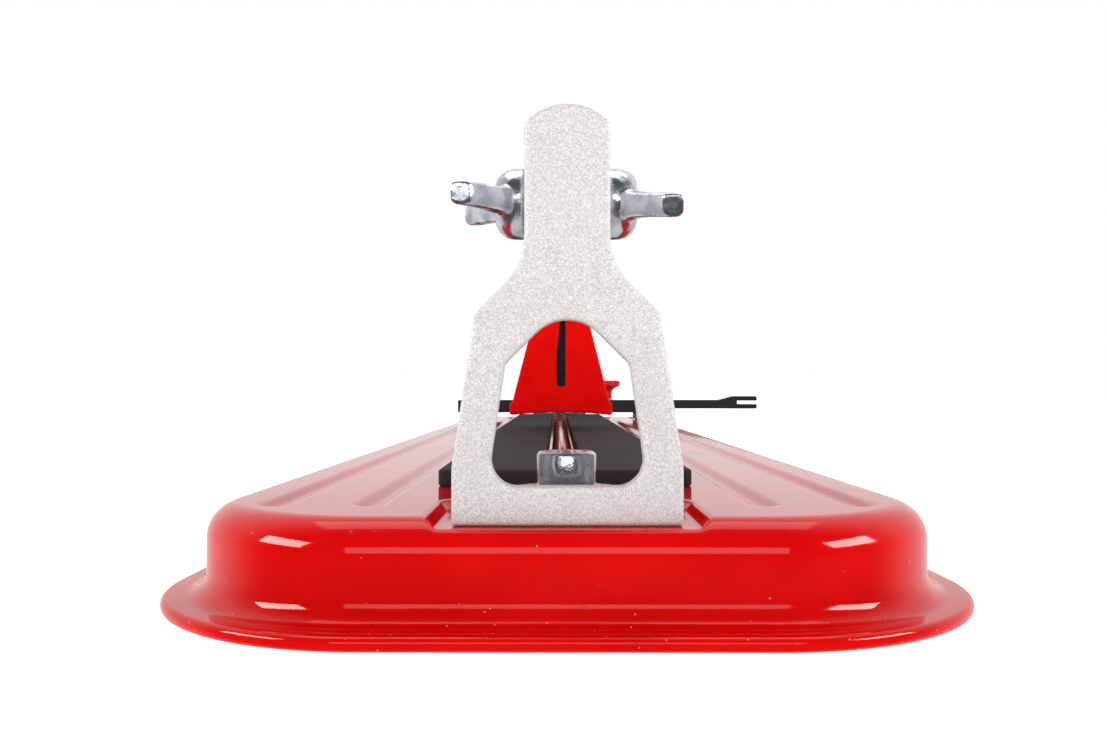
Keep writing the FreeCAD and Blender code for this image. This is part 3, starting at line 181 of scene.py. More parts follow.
def revolve(radius, height, turns):
    """Profile carried round the Z axis: x and y are the radius times the turn's cosine and sine."""
    angle = np.linspace(0, 2 * math.pi, turns, endpoint=False)
    radius = np.asarray(radius, float)
    if radius.ndim == 1:
        radius = radius[:, None]
    spread = radius * np.ones_like(angle)
    level = np.asarray(height, float)[:, None] * np.ones_like(angle)
    return grid(np.stack([spread * np.cos(angle), spread * np.sin(angle), level], -1), wrap=True)


def lathe(rows, turns):
    """Profile of (radius, height) rows carried round; a radius may differ round the turn."""
    radius = np.array([np.broadcast_to(row[0], turns) for row in rows])
    return revolve(radius, [row[1] for row in rows], turns)


def turned(path, turns, axis, at):
    """Path of (radius, height) points revolved, aimed along an axis and put in its place."""
    return aimed(revolve(path[:, 0], path[:, 1], turns), axis, at)


def mirrored(half):
    """A path of (radius, height) points from the middle outwards, and its mirror image first."""
    half = np.array(half)
    return np.concatenate([(half * (1, -1))[::-1], half[1:]])


def hexagon(flats, turns):
    """Distance to a hexagon's edge: half its width across flats over the cosine from a flat."""
    angle = np.linspace(0, 2 * math.pi, turns, endpoint=False)
    return flats / 2 / np.cos(angle % (math.pi / 3) - math.pi / 6)


def aimed(part, axis, at):
    """The part with its own Z axis turned to a direction and its origin moved to a place."""
    points, faces = part
    turn = np.array(Vector(axis).to_track_quat("Z", "Y").to_matrix())
    return points @ turn.T + np.asarray(at, float), faces


def half_turned(part):
    """The part turned half round the upright axis, to the other end of the cutter."""
    points, faces = part
    return points * (-1, -1, 1), faces


def new_mesh(name, parts):
    """One mesh of all the parts, with its seams and poles closed and its faces outwards."""
    starts = np.cumsum([0] + [len(points) for points, _ in parts])
    points = np.concatenate([points for points, _ in parts])
    faces = np.concatenate([faces + start for (_, faces), start in zip(parts, starts)])
    mesh = bpy.data.meshes.new(name)
    mesh.vertices.add(len(points))
    mesh.vertices.foreach_set("co", points.astype(np.float32).ravel())
    mesh.loops.add(faces.size)
    mesh.loops.foreach_set("vertex_index", faces.astype(np.int32).ravel())
    mesh.polygons.add(len(faces))
    mesh.polygons.foreach_set("loop_start", np.arange(0, faces.size, 4, dtype=np.int32))
    mesh.update(calc_edges=True)
    close(mesh, SEAM_GAP)
    return mesh


def close(mesh, gap):
    """Merges points nearer than the gap, drops faces with no area and turns faces outwards."""
    work = bmesh.new()
    work.from_mesh(mesh)
    bmesh.ops.remove_doubles(work, verts=work.verts, dist=gap)
    bmesh.ops.dissolve_degenerate(work, dist=gap / 4, edges=work.edges)
    holes = [edge for edge in work.edges if edge.is_boundary]
    if holes:
        bmesh.ops.holes_fill(work, edges=holes)
    bmesh.ops.recalc_face_normals(work, faces=work.faces)
    work.to_mesh(mesh)
    work.free()


def show(node, mesh, crease=35):
    """Puts a mesh in the place of a CAD node: on its body, with its slot and its finish."""
    cad = frame["nodes"][node]
    slot = cad.data.materials[0].name
    mesh.materials.clear()
    mesh.materials.append(finish(slot))
    mesh.polygons.foreach_set("use_smooth", np.ones(len(mesh.polygons), bool))
    mesh.set_sharp_from_angle(angle=math.radians(crease))
    piece = bpy.data.objects.new(node + "_surface", mesh)
    bpy.context.scene.collection.objects.link(piece)
    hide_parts(node)
    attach(piece, cad["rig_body"])
    return piece


def show_parts(node, parts, crease=35):
    """Puts new parts in the place of a CAD node."""
    return show(node, new_mesh(node, parts), crease)


def refinish(*nodes):
    """Gives CAD nodes whose shape is right the finish of their slot."""
    for node in nodes:
        cad = frame["nodes"][node]
        cad.material_slots[0].material = finish(cad.data.materials[0].name)


def relaxed(name, mesh, voxel, rounds):
    """The mesh rebuilt as even quads and smoothed, which melts overlaps into fillets."""
    work = bpy.data.objects.new(name, mesh)
    bpy.context.scene.collection.objects.link(work)
    even = work.modifiers.new("even", "REMESH")
    even.mode = "VOXEL"
    even.voxel_size = voxel
    soften = work.modifiers.new("soften", "SMOOTH")
    soften.factor = 0.5
    soften.iterations = rounds
    held = bpy.context.evaluated_depsgraph_get()
    result = bpy.data.meshes.new_from_object(work.evaluated_get(held), depsgraph=held)
    bpy.data.objects.remove(work)
    return result


SKIN_WAVES = 9


def vertex_values(mesh, attribute):
    """Three values of every vertex, as an array of rows."""
    values = np.empty(len(mesh.vertices) * 3, np.float32)
    mesh.vertices.foreach_get(attribute, values)
    return values.reshape(-1, 3)


def rippled(mesh, height, length, seed):
    """Moves each point along its normal by a sum of sines of its place, as a skin that waves."""
    random = np.random.default_rng(seed)
    points, normals = vertex_values(mesh, "co"), vertex_values(mesh, "normal")
    waves = random.normal(size=(SKIN_WAVES, 3)) * 2 * math.pi / length
    shift = random.uniform(0, 2 * math.pi, SKIN_WAVES)
    swell = np.sin(points @ waves.T + shift).mean(1) * height
    mesh.vertices.foreach_set("co", (points + normals * swell[:, None]).ravel())
    mesh.update()
    return mesh


def recast(node, voxel, rounds=3, ripple=0.03 * MM, length=4 * MM):
    """A CAD node's own shape with round edges and a slightly wavy skin."""
    mesh = frame["nodes"][node].data.copy()
    close(mesh, CAD_SEAM_GAP)
    mesh = relaxed(node, mesh, voxel, rounds)
    return rippled(mesh, ripple, length, len(node))


# ---------------------------------------------------------------- plates

def spaced(lines, least):
    """Sorted lines with none nearer than least to the one before; both ends stay."""
    lines = np.sort(np.concatenate(lines))
    kept = [lines[0]]
    for line in lines[1:-1]:
        if line - kept[-1] > least and lines[-1] - line > least:
            kept.append(line)
    return np.array(kept + [lines[-1]])


def plate_level(half_x, half_y, radius, xs, ys):
    """Square grid drawn onto a rectangle with round corners.

    In each corner the square's point (a, b) goes to a times the root of 1 - b*b/2, and b likewise,
    which maps the square's edge to the quarter circle.
    """
    x, y = np.meshgrid(xs, ys)
    a = np.clip((np.abs(x) - half_x + radius) / radius, 0, 1)
    b = np.clip((np.abs(y) - half_y + radius) / radius, 0, 1)
    inner_x = np.minimum(np.abs(x), half_x - radius)
    inner_y = np.minimum(np.abs(y), half_y - radius)
    x = np.sign(x) * (inner_x + radius * a * np.sqrt(1 - b * b / 2))
    y = np.sign(y) * (inner_y + radius * b * np.sqrt(1 - a * a / 2))
    return x, y


def border(field):
    """The outermost points of a grid in order, once round."""
    return np.concatenate([field[0, :-1], field[:-1, -1], field[-1, :0:-1], field[:0:-1, 0]])


def plate(half_x, half_y, radius, xs, ys, profile, top, under):
    """Closed plate: a top, a band round its edge and an underside.

    The band is each border point moved out along its corner's radius by the profile's first
    value, at the height of its second. top and under give the height at a place.
    """
    x, y = plate_level(half_x, half_y, radius, xs, ys)
    edge_x, edge_y = border(x), border(y)
    out_x = edge_x - np.clip(edge_x, radius - half_x, half_x - radius)
    out_y = edge_y - np.clip(edge_y, radius - half_y, half_y - radius)
    length = np.hypot(out_x, out_y)
    band_x = edge_x + profile[:, :1] * out_x / length
    band_y = edge_y + profile[:, :1] * out_y / length
    band_z = np.broadcast_to(profile[:, 1:], band_x.shape)
    over = np.stack([x, y, top(x, y, np.full_like(x, profile[0, 1]))], -1)
    below = np.stack([x, y, under(x, y, np.full_like(x, profile[-1, 1]))], -1)
    halfway = int(np.argmin(band_z[:, 0]))
    upper = top(band_x[:halfway], band_y[:halfway], band_z[:halfway])
    lower = under(band_x[halfway:], band_y[halfway:], band_z[halfway:])
    band = np.stack([band_x, band_y, np.concatenate([upper, lower])], -1)
    return [grid(over), grid(band, wrap=True), grid(below)]


def moved(parts, x, y, z):
    return [(points + (x, y, z), faces) for points, faces in parts]


def flat(x, y, z):
    """Height field of a plain plate: the profile's own height."""
    return z


def smooth_step(value):
    """Rises from 0 to 1 as 3v*v - 2v*v*v, level at both ends."""
    value = np.clip(value, 0, 1)
    return value * value * (3 - 2 * value)


# ---------------------------------------------------------------- shader effects

def shaded(colour, factor):
    """The colour with each of its parts multiplied."""
    return tuple(factor * part for part in colour)


def set_input(tree, socket, value):
    """Joins another node's output to a socket, or gives the socket a value of its own."""
    if isinstance(value, bpy.types.NodeSocket):
        tree.links.new(value, socket)
    else:
        socket.default_value = value


def add(tree, kind, inputs=None, **settings):
    """One node of a tree; an input is a value, or another node's output to join to it."""
    node = tree.nodes.new("ShaderNode" + kind)
    for name, value in settings.items():
        setattr(node, name, value)
    for name, value in (inputs or {}).items():
        set_input(tree, node.inputs[name], value)
    return node


def ramp(tree, value, low, high, to_low=0.0, to_high=1.0):
    """A value's range from low to high stretched smoothly over another range."""
    inputs = {"Value": value, 1: low, 2: high, 3: to_low, 4: to_high}
    return add(tree, "MapRange", inputs, interpolation_type="SMOOTHSTEP").outputs[0]


def times(tree, first, second):
    return add(tree, "Math", {0: first, 1: second}, operation="MULTIPLY").outputs[0]


def blended(tree, share, first, second):
    """Colour that goes from the first to the second as share goes from 0 to 1."""
    mix = add(tree, "Mix", {"Factor": share}, data_type="RGBA")
    for socket, value in ((mix.inputs[6], first), (mix.inputs[7], second)):
        set_input(tree, socket, (*value, 1) if isinstance(value, tuple) else value)
    return mix.outputs[2]


def effect(name, inputs, outputs, build):
    """A shader node group with named sockets, built once by the function it is given."""
    group = bpy.data.node_groups.get(name)
    if group is None:
        group = bpy.data.node_groups.new(name, "ShaderNodeTree")
        for socket, kind, default in inputs:
            made = group.interface.new_socket(
                socket, in_out="INPUT", socket_type="NodeSocket" + kind)
            if default is not None:
                made.default_value = default
        for socket, kind in outputs:
            group.interface.new_socket(socket, in_out="OUTPUT", socket_type="NodeSocket" + kind)
        source = group.nodes.new("NodeGroupInput").outputs
        target = group.nodes.new("NodeGroupOutput").inputs
        for socket, value in build(group, source).items():
            group.links.new(value, target[socket])
    return group


def use(tree, group, inputs):
    """Places an effect in a material with its own values."""
    node = tree.nodes.new("ShaderNodeGroup")
    node.node_tree = group
    for name, value in inputs.items():
        set_input(tree, node.inputs[name], value)
    return node.outputs


def grain_effect():
    """Two sizes of noise laid together: blasted, sanded or foamed skins."""
    def build(tree, source):
        coarse = add(tree, "TexNoise", {"Vector": source["Vector"], "Scale": source["Scale"],
                                        "Detail": 2.0, "Roughness": 0.6})
        fine = add(tree, "TexNoise", {"Vector": source["Vector"], "Detail": 1.0,
                                      "Scale": times(tree, source["Scale"], 2.3)})
        both = add(tree, "Mix", {0: 0.42, 2: coarse.outputs[0], 3: fine.outputs[0]}).outputs[0]
        return {"Height": both, "Shade": ramp(tree, both, 0.36, 0.64)}
    inputs = [("Vector", "Vector", None), ("Scale", "Float", 2000.0)]
    return effect("Grain", inputs, [("Shade", "Float"), ("Height", "Float")], build)


def mottle_effect():
    """Broad soft patches, for uneven colour and gloss."""
    def build(tree, source):
        patches = add(tree, "TexNoise", {"Vector": source["Vector"], "Scale": source["Scale"],
                                         "Detail": 4.0, "Roughness": 0.55})
        return {"Mask": ramp(tree, patches.outputs[0], 0.35, 0.68)}
    inputs = [("Vector", "Vector", None), ("Scale", "Float", 60.0)]
    return effect("Mottle", inputs, [("Mask", "Float")], build)


def specks_effect():
    """Scattered grit: round dots at cell points, kept only where the cell's own number is high."""
    def build(tree, source):
        cells = add(tree, "TexVoronoi", {"Vector": source["Vector"], "Scale": source["Scale"]})
        number = add(tree, "SeparateColor", {0: cells.outputs["Color"]}).outputs[0]
        chosen = add(tree, "Math", {0: number, 1: source["Rarity"]}, operation="GREATER_THAN")
        dot = ramp(tree, cells.outputs["Distance"], 0.10, 0.20, 1.0, 0.0)
        return {"Mask": times(tree, dot, chosen.outputs[0])}
    inputs = [("Vector", "Vector", None), ("Scale", "Float", 400.0), ("Rarity", "Float", 0.97)]
    return effect("Specks", inputs, [("Mask", "Float")], build)


def strokes_effect():
    """Fine parallel lines, long in one direction: brushing, grinding and sliding marks."""
    def build(tree, source):
        drawn = add(tree, "Mapping", {"Vector": source["Vector"], "Scale": source["Stretch"]})
        lines = add(tree, "TexNoise", {"Vector": drawn.outputs[0], "Scale": source["Scale"],
                                       "Detail": 3.0, "Roughness": 0.7})
        return {"Height": lines.outputs[0], "Shade": ramp(tree, lines.outputs[0], 0.38, 0.62)}
    inputs = [("Vector", "Vector", None), ("Scale", "Float", 600.0),
              ("Stretch", "Vector", (1, 0.02, 1))]
    return effect("Strokes", inputs, [("Shade", "Float"), ("Height", "Float")], build)


def edges_effect():
    """Edges found where a rounded normal turns away from the face's own, broken up by noise."""
    def build(tree, source):
        smooth = add(tree, "Bevel", {"Radius": source["Radius"]}, samples=4).outputs[0]
        face = add(tree, "NewGeometry").outputs["True Normal"]
        agree = add(tree, "VectorMath", {0: smooth, 1: face}, operation="DOT_PRODUCT")
        edge = ramp(tree, agree.outputs["Value"], 0.80, 0.985, 1.0, 0.0)
        chips = add(tree, "TexNoise", {"Vector": source["Vector"], "Scale": 700.0, "Detail": 3.0})
        worn = times(tree, edge, ramp(tree, chips.outputs[0], 0.4, 0.62))
        return {"Mask": worn, "Normal": smooth}
    inputs = [("Vector", "Vector", None), ("Radius", "Float", 0.4 * MM)]
    return effect("Edges", inputs, [("Mask", "Float"), ("Normal", "Vector")], build)


# ---------------------------------------------------------------- finishes

class Finish:
    """A material in the making: its tree, its shader and the place on the object."""

    def __init__(self, name, **constants):
        self.material = bpy.data.materials.new(name)
        self.material.use_nodes = True
        self.tree = self.material.node_tree
        self.shader = self.tree.nodes["Principled BSDF"]
        for socket, value in constants.items():
            self.shader.inputs[socket.replace("_", " ")].default_value = value
        self.place = add(self.tree, "TexCoord").outputs["Object"]

    def use(self, group, **inputs):
        return use(self.tree, group, {"Vector": self.place, **inputs})

    def blend(self, share, first, second):
        return blended(self.tree, share, first, second)

    def tint(self, tone, mask, share, colour):
        """The tone with a share of another colour where the mask is."""
        return self.blend(times(self.tree, mask, share), tone, colour)

    def spread(self, value, low, high):
        """A value from 0 to 1 spread from low to high."""
        return ramp(self.tree, value, 0.0, 1.0, low, high)

    def join(self, **outputs):
        for socket, value in outputs.items():
            self.tree.links.new(value, self.shader.inputs[socket.replace("_", " ")])

    def bump(self, height, depth, normal=None, strength=1.0):
        inputs = {"Height": height, "Distance": depth, "Strength": strength}
        if normal is not None:
            inputs["Normal"] = normal
        return add(self.tree, "Bump", inputs).outputs[0]


def red_enamel():
    """Stoved enamel over steel: wet gloss, faint orange peel, grit and dust on it."""
    red = tuple(colours().enamel)
    made = Finish("enamel_red", IOR=1.42, Specular_Tint=(1, 0.75, 0.72, 1))
    peel = made.use(grain_effect(), Scale=300.0)
    patches = made.use(mottle_effect(), Scale=45.0)["Mask"]
    grit = made.use(specks_effect(), Scale=330.0, Rarity=0.965)["Mask"]
    height = add(made.tree, "SeparateXYZ", {0: made.place}).outputs["Z"]
    rarity = ramp(made.tree, height, 4 * MM, 9 * MM, 0.95, 0.985)
    dust = made.use(specks_effect(), Scale=1000.0, Rarity=rarity)["Mask"]
    paint = made.blend(patches, shaded(red, 0.9), red)
    paint = made.tint(paint, grit, 0.55, (0.20, 0.03, 0.02))
    paint = made.tint(paint, dust, 0.8, (0.78, 0.36, 0.20))
    rough = made.spread(patches, 0.055, 0.10)
    relief = made.bump(peel["Height"], 0.012 * MM)
    made.join(Base_Color=paint, Roughness=rough, Normal=made.bump(grit, 0.06 * MM, relief))
    return made.material


def red_cast():
    """Red powder paint on a casting: satin, pebbled, rubbed thin on its edges."""
    red = tuple(colours().cast_red)
    made = Finish("powder_red", IOR=1.45, Specular_Tint=(1, 0.10, 0.08, 1))
    pebble = made.use(grain_effect(), Scale=700.0)
    patches = made.use(mottle_effect(), Scale=80.0)["Mask"]
    edges = made.use(edges_effect(), Radius=0.5 * MM)
    paint = made.blend(patches, shaded(red, 0.88), red)
    paint = made.tint(paint, edges["Mask"], 0.25, (0.33, 0.02, 0.015))
    rough = made.spread(pebble["Shade"], 0.36, 0.50)
    made.join(Base_Color=paint, Roughness=rough,
              Normal=made.bump(pebble["Height"], 0.05 * MM, edges["Normal"]))
    return made.material


def cast_aluminium():
    """Blasted light alloy: pale grains and dark pits a fifth of a millimetre across."""
    pale = tuple(colours().casting)
    made = Finish("blasted_alloy", Metallic=0.25, IOR=1.5)
    sand = made.use(grain_effect(), Scale=3400.0)
    fine = made.use(grain_effect(), Scale=5200.0)
    patches = made.use(mottle_effect(), Scale=90.0)["Mask"]
    pits = made.use(specks_effect(), Scale=1500.0, Rarity=0.86)["Mask"]
    edges = made.use(edges_effect(), Radius=0.35 * MM)
    skin = made.blend(sand["Shade"], shaded(pale, 0.66), shaded(pale, 1.30))
    skin = made.tint(skin, patches, 0.12, (0.48, 0.47, 0.465))
    skin = made.tint(skin, pits, 0.6, (0.20, 0.19, 0.187))
    skin = made.tint(skin, edges["Mask"], 0.5, (0.80, 0.80, 0.80))
    rough = made.spread(sand["Shade"], 0.62, 0.46)
    relief = made.bump(sand["Height"], 0.14 * MM, edges["Normal"])
    made.join(Base_Color=skin, Roughness=rough, Normal=made.bump(fine["Height"], 0.05 * MM, relief))
    return made.material


def zinc():
    """Bright zinc plating: bluish, softly mottled, with pinholes and rubbed edges."""
    plate = tuple(colours().zinc)
    made = Finish("zinc_plate", Metallic=1.0)
    patches = made.use(mottle_effect(), Scale=260.0)["Mask"]
    skin = made.use(grain_effect(), Scale=900.0)
    pits = made.use(specks_effect(), Scale=1100.0, Rarity=0.88)["Mask"]
    edges = made.use(edges_effect(), Radius=0.3 * MM)
    tone = made.blend(patches, shaded(plate, 0.62), plate)
    tone = made.tint(tone, pits, 0.7, (0.16, 0.168, 0.175))
    tone = made.tint(tone, edges["Mask"], 0.5, (0.86, 0.86, 0.87))
    rough = made.spread(patches, 0.30, 0.14)
    dents = made.bump(patches, 0.04 * MM, edges["Normal"])
    relief = made.bump(skin["Height"], 0.05 * MM, dents)
    made.join(Base_Color=tone, Roughness=rough, Normal=made.bump(pits, -0.04 * MM, relief))
    return made.material


def black_foam():
    """Closed-cell rubber sheet: dull, finely pored, dusted grey."""
    black = tuple(colours().foam)
    made = Finish("foam_rubber", IOR=1.5, Specular_IOR_Level=0.18)
    pores = made.use(grain_effect(), Scale=1500.0)
    patches = made.use(mottle_effect(), Scale=35.0)["Mask"]
    dust = made.use(specks_effect(), Scale=1300.0, Rarity=0.93)["Mask"]
    worn = made.tint(black, patches, 0.5, (0.030, 0.027, 0.026))
    worn = made.tint(worn, pores["Shade"], 0.35, (0.045, 0.042, 0.040))
    worn = made.tint(worn, dust, 0.30, (0.30, 0.27, 0.25))
    rough = made.spread(pores["Shade"], 0.72, 0.92)
    made.join(Base_Color=worn, Roughness=rough, Normal=made.bump(pores["Height"], 0.10 * MM))
    return made.material


def moulded(name, colour, pale, roughness, scale, depth, **constants):
    """Moulded rubber or plastic: a fine leather grain, greyed where it is handled."""
    made = Finish(name, **constants)
    skin = made.use(grain_effect(), Scale=scale)
    patches = made.use(mottle_effect(), Scale=70.0)["Mask"]
    edges = made.use(edges_effect(), Radius=0.4 * MM)
    tone = made.tint(colour, patches, 0.35, pale)
    tone = made.tint(tone, edges["Mask"], 0.4, pale)
    rough = made.spread(skin["Shade"], roughness - 0.06, roughness + 0.08)
    made.join(Base_Color=tone, Roughness=rough,
              Normal=made.bump(skin["Height"], depth, edges["Normal"]))
    return made.material


def drawn(name, colour, pale, roughness, stretch, depth, scale=500.0, **constants):
    """Drawn, ground or brushed metal: lines along the work, bright on its edges."""
    made = Finish(name, **constants)
    lines = made.use(strokes_effect(), Scale=scale, Stretch=stretch)
    patches = made.use(mottle_effect(), Scale=55.0)["Mask"]
    edges = made.use(edges_effect(), Radius=0.3 * MM)
    tone = made.tint(colour, lines["Shade"], 0.5, pale)
    bare = tuple(min(1.0, 1.5 * part + 0.02) for part in pale)
    tone = made.tint(tone, edges["Mask"], 0.6, bare)
    rough = made.spread(patches, roughness - 0.04, roughness + 0.07)
    made.join(Base_Color=tone, Roughness=rough,
              Normal=made.bump(lines["Height"], depth, edges["Normal"]))
    return made.material


def galvanised():
    """Hot-dip galvanised sheet: crystal spangles of differing grey."""
    made = Finish("galvanised_sheet", Metallic=0.9)
    cells = add(made.tree, "TexVoronoi", {"Vector": made.place, "Scale": 130.0})
    tint = add(made.tree, "SeparateColor", {0: cells.outputs["Color"]}).outputs[0]
    haze = made.use(mottle_effect(), Scale=90.0)["Mask"]
    edges = made.use(edges_effect(), Radius=0.3 * MM)
    tone = made.blend(tint, (0.40, 0.41, 0.42), (0.60, 0.61, 0.63))
    tone = made.tint(tone, haze, 0.3, (0.66, 0.66, 0.66))
    rough = made.spread(tint, 0.30, 0.46)
    made.join(Base_Color=tone, Roughness=rough,
              Normal=made.bump(haze, 0.02 * MM, edges["Normal"]))
    return made.material


ALONG_Y = (1.0, 0.02, 1.0)
ALONG_X = (0.02, 1.0, 1.0)
ALONG_Z = (1.0, 1.0, 0.03)
ANY_WAY = (1.0, 1.0, 1.0)

FINISHES = {
    "red_enamel": red_enamel,
    "red_cast": red_cast,
    "cast_aluminium": cast_aluminium,
    "zinc": zinc,
    "black_foam": black_foam,
    "galvanised": galvanised,
    "bright_steel": lambda: drawn(
        "ground_steel", (0.50, 0.51, 0.52), (0.70, 0.71, 0.72), 0.20,
        ALONG_Y, 0.012 * MM, Metallic=1.0),
    "machined_aluminium": lambda: drawn(
        "milled_alloy", (0.58, 0.58, 0.59), (0.78, 0.78, 0.79), 0.30,
        ALONG_Z, 0.02 * MM, Metallic=1.0),
    "black_anodised": lambda: drawn(
        "black_anodise", (0.008, 0.008, 0.009), (0.018, 0.018, 0.019), 0.36,
        ALONG_X, 0.015 * MM, Metallic=0.35),
    "black_steel": lambda: drawn(
        "blackened_steel", (0.010, 0.010, 0.011), (0.026, 0.026, 0.028), 0.34,
        ALONG_Y, 0.02 * MM, Metallic=0.7),
    "chromed_tube": lambda: drawn(
        "chrome", (0.72, 0.73, 0.75), (0.82, 0.83, 0.85), 0.08,
        ALONG_Y, 0.003 * MM, Metallic=1.0),
    "carbide": lambda: drawn(
        "sintered_carbide", (0.16, 0.16, 0.17), (0.30, 0.30, 0.31), 0.24,
        ANY_WAY, 0.01 * MM, Metallic=1.0),
    "black_rubber": lambda: moulded(
        "moulded_rubber", (0.012, 0.012, 0.012), (0.040, 0.039, 0.038), 0.62,
        1400.0, 0.05 * MM),
    "grip_rubber": lambda: moulded(
        "grip_sleeve", (0.014, 0.014, 0.015), (0.050, 0.050, 0.050), 0.55,
        1000.0, 0.07 * MM),
    "red_plastic": lambda: moulded(
        "moulded_red", (0.62, 0.004, 0.003), (0.66, 0.02, 0.015), 0.34,
        800.0, 0.02 * MM, Specular_Tint=(1, 0.4, 0.36, 1)),
    "white_nylon": lambda: moulded(
        "turned_nylon", (0.72, 0.70, 0.64), (0.82, 0.80, 0.76), 0.42,
        900.0, 0.02 * MM, Subsurface_Weight=0.1),
}
made_finishes = {}


def finish(slot):
    """The material of one of the record's slots, built the first time it is asked for."""
    if slot not in made_finishes:
        made_finishes[slot] = FINISHES[slot]()
    return made_finishes[slot]


# ---------------------------------------------------------------- base

def box_sides(node):
    """A CAD node's low and high corners as arrays."""
    low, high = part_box(node)
    return np.array(low), np.array(high)


def high_corner(node):
    return box_sides(node)[1]


GROOVE_EDGE_MARGINS = (28.3 * MM, 49.3 * MM)
GROOVE_HALF = 4.1 * MM
GROOVE_END_MARGIN = 36.6 * MM
WELL_SIDE_GAP = 4.2 * MM
WELL_REAR_GAP = 3.0 * MM
WELL_SLOPE = 3.6 * MM
WELL_DEPTH = 2.0 * MM
WELL_CORNER = 11 * MM
WALL_DROP = 9 * MM
HEM_SOFTENING = 0.3 * MM
LEAST_STEP = 0.4 * MM


def pressed_depth(x, y):
    """How far the pan's top is pressed in at a place.

    Each groove is half a cosine of the distance to its middle line, and each well a smooth step
    of the distance inside a rectangle with round corners, open towards the pan's end.
    """
    high, bracket_high = high_corner("base_pan"), high_corner("front_bracket")
    end_y = high[1] - GROOVE_END_MARGIN
    depth = np.zeros_like(x)
    for margin in GROOVE_EDGE_MARGINS:
        beside = np.abs(x) - (high[0] - margin)
        beyond = np.maximum(np.abs(y) - end_y, 0)
        share = np.clip(np.hypot(beside, beyond) / GROOVE_HALF, 0, 1)
        depth = np.maximum(depth, sizes().groove_depth * (1 + np.cos(math.pi * share)) / 2)
    half = bracket_high[0] + WELL_SIDE_GAP + WELL_SLOPE / 2
    inner_y = -bracket_high[1] - WELL_REAR_GAP - WELL_SLOPE / 2
    across = half - WELL_CORNER - np.abs(x)
    along = np.abs(y) - inner_y - WELL_CORNER
    outside = np.hypot(np.minimum(across, 0), np.minimum(along, 0))
    inside = np.where((across < 0) | (along < 0), WELL_CORNER - outside, WELL_CORNER)
    return np.maximum(depth, WELL_DEPTH * smooth_step(inside / WELL_SLOPE))


def pan_profile(top):
    """Section of the pan's edge, from its top over the wall, flange and hem to its underside."""
    size = sizes()
    wall = size.top_edge
    inner = wall - size.sheet
    rim = wall + size.flange
    hem_round = 0.45 * size.hem
    hem_centre = rim - hem_round
    hem_inner = rim - size.hem
    root = size.hem + size.root_edge
    under = size.hem - size.sheet
    centre = (0, top - size.top_edge)
    return np.concatenate([
        bend(centre, size.top_edge, 90, 0, 13),
        np.linspace((wall, top - WALL_DROP), (wall, root), 4)[:-1],
        bend((wall + size.root_edge, root), size.root_edge, 180, 270, 11),
        bend((hem_centre, size.hem - hem_round), hem_round, 90, 0, 7),
        bend((hem_centre, hem_round), hem_round, 0, -90, 7),
        [(hem_inner + HEM_SOFTENING, 0), (hem_inner, HEM_SOFTENING), (hem_inner, under)],
        [(inner + 0.5 * MM, under), (inner, size.hem)],
        bend(centre, inner, 0, 90, 9),
    ])


def make_base_pan():
    """Pressed pan: the plate's height at each place is its top less the pressed depth."""
    size = sizes()
    high, bracket_high = high_corner("base_pan"), high_corner("front_bracket")
    top = high[2]
    inset = size.flange + size.top_edge
    half_x, half_y = high[0] - inset, high[1] - inset
    near = np.arange(-5, 5.1, 0.6) * MM  # finer lines beside each pressed edge
    well_x = bracket_high[0] + WELL_SIDE_GAP
    lines = [np.linspace(0, half_x, 46), well_x + near]
    lines += [high[0] - margin + near for margin in GROOVE_EDGE_MARGINS]
    right = spaced([line[(line >= 0) & (line <= half_x)] for line in lines], LEAST_STEP)
    well_y = -bracket_high[1] - WELL_REAR_GAP
    lines = [np.linspace(0, well_y, 24), np.linspace(well_y, half_y, 36), well_y + near]
    far = spaced([line[(line >= 0) & (line <= half_y)] for line in lines], LEAST_STEP)
    xs = np.concatenate([-right[:0:-1], right])
    ys = np.concatenate([-far[:0:-1], far])

    def over(x, y, z):
        return np.minimum(z, top - pressed_depth(x, y))

    def under(x, y, z):
        return np.minimum(z, top - size.sheet - pressed_depth(x, y))

    parts = plate(half_x, half_y, size.corner - inset, xs, ys, pan_profile(top), over, under)
    show_parts("base_pan", parts, crease=55)


PAD_CORNER = 2 * MM
PAD_EDGE = 0.7 * MM
PAD_WEAR = 0.03 * MM


def slab(low, high, corner, edge, columns, rows, top=flat):
    """Plate between two corners of a box with round corners and softened edges."""
    half = (high - low) / 2
    inner_x, inner_y = half[0] - edge, half[1] - edge
    profile = np.concatenate([
        bend((0, high[2] - edge), edge, 90, 0, 5),
        bend((0, low[2] + edge), edge, 0, -90, 5),
    ])
    xs = np.linspace(-inner_x, inner_x, columns)
    ys = np.linspace(-inner_y, inner_y, rows)
    middle = (low + high) / 2
    parts = plate(inner_x, inner_y, corner, xs, ys, profile, top, flat)
    return moved(parts, middle[0], middle[1], 0)


def make_pads():
    """Cushion sheets: slabs whose tops dip by a few hundredths of a millimetre in slow waves."""
    for seed, node in enumerate(("left_pad", "right_pad")):
        low, high = box_sides(node)
        shift = 2.1 * seed

        def worn(x, y, z):
            wave = np.sin(x * 190 + y * 23 + shift) + np.sin(y * 61 - x * 90 + 2 * shift)
            return z - PAD_WEAR * (wave + 2) * (z > low[2] + PAD_EDGE)

        parts = slab(low, high, PAD_CORNER, PAD_EDGE, columns=40, rows=320, top=worn)
        pad = show_parts(node, parts, crease=60)


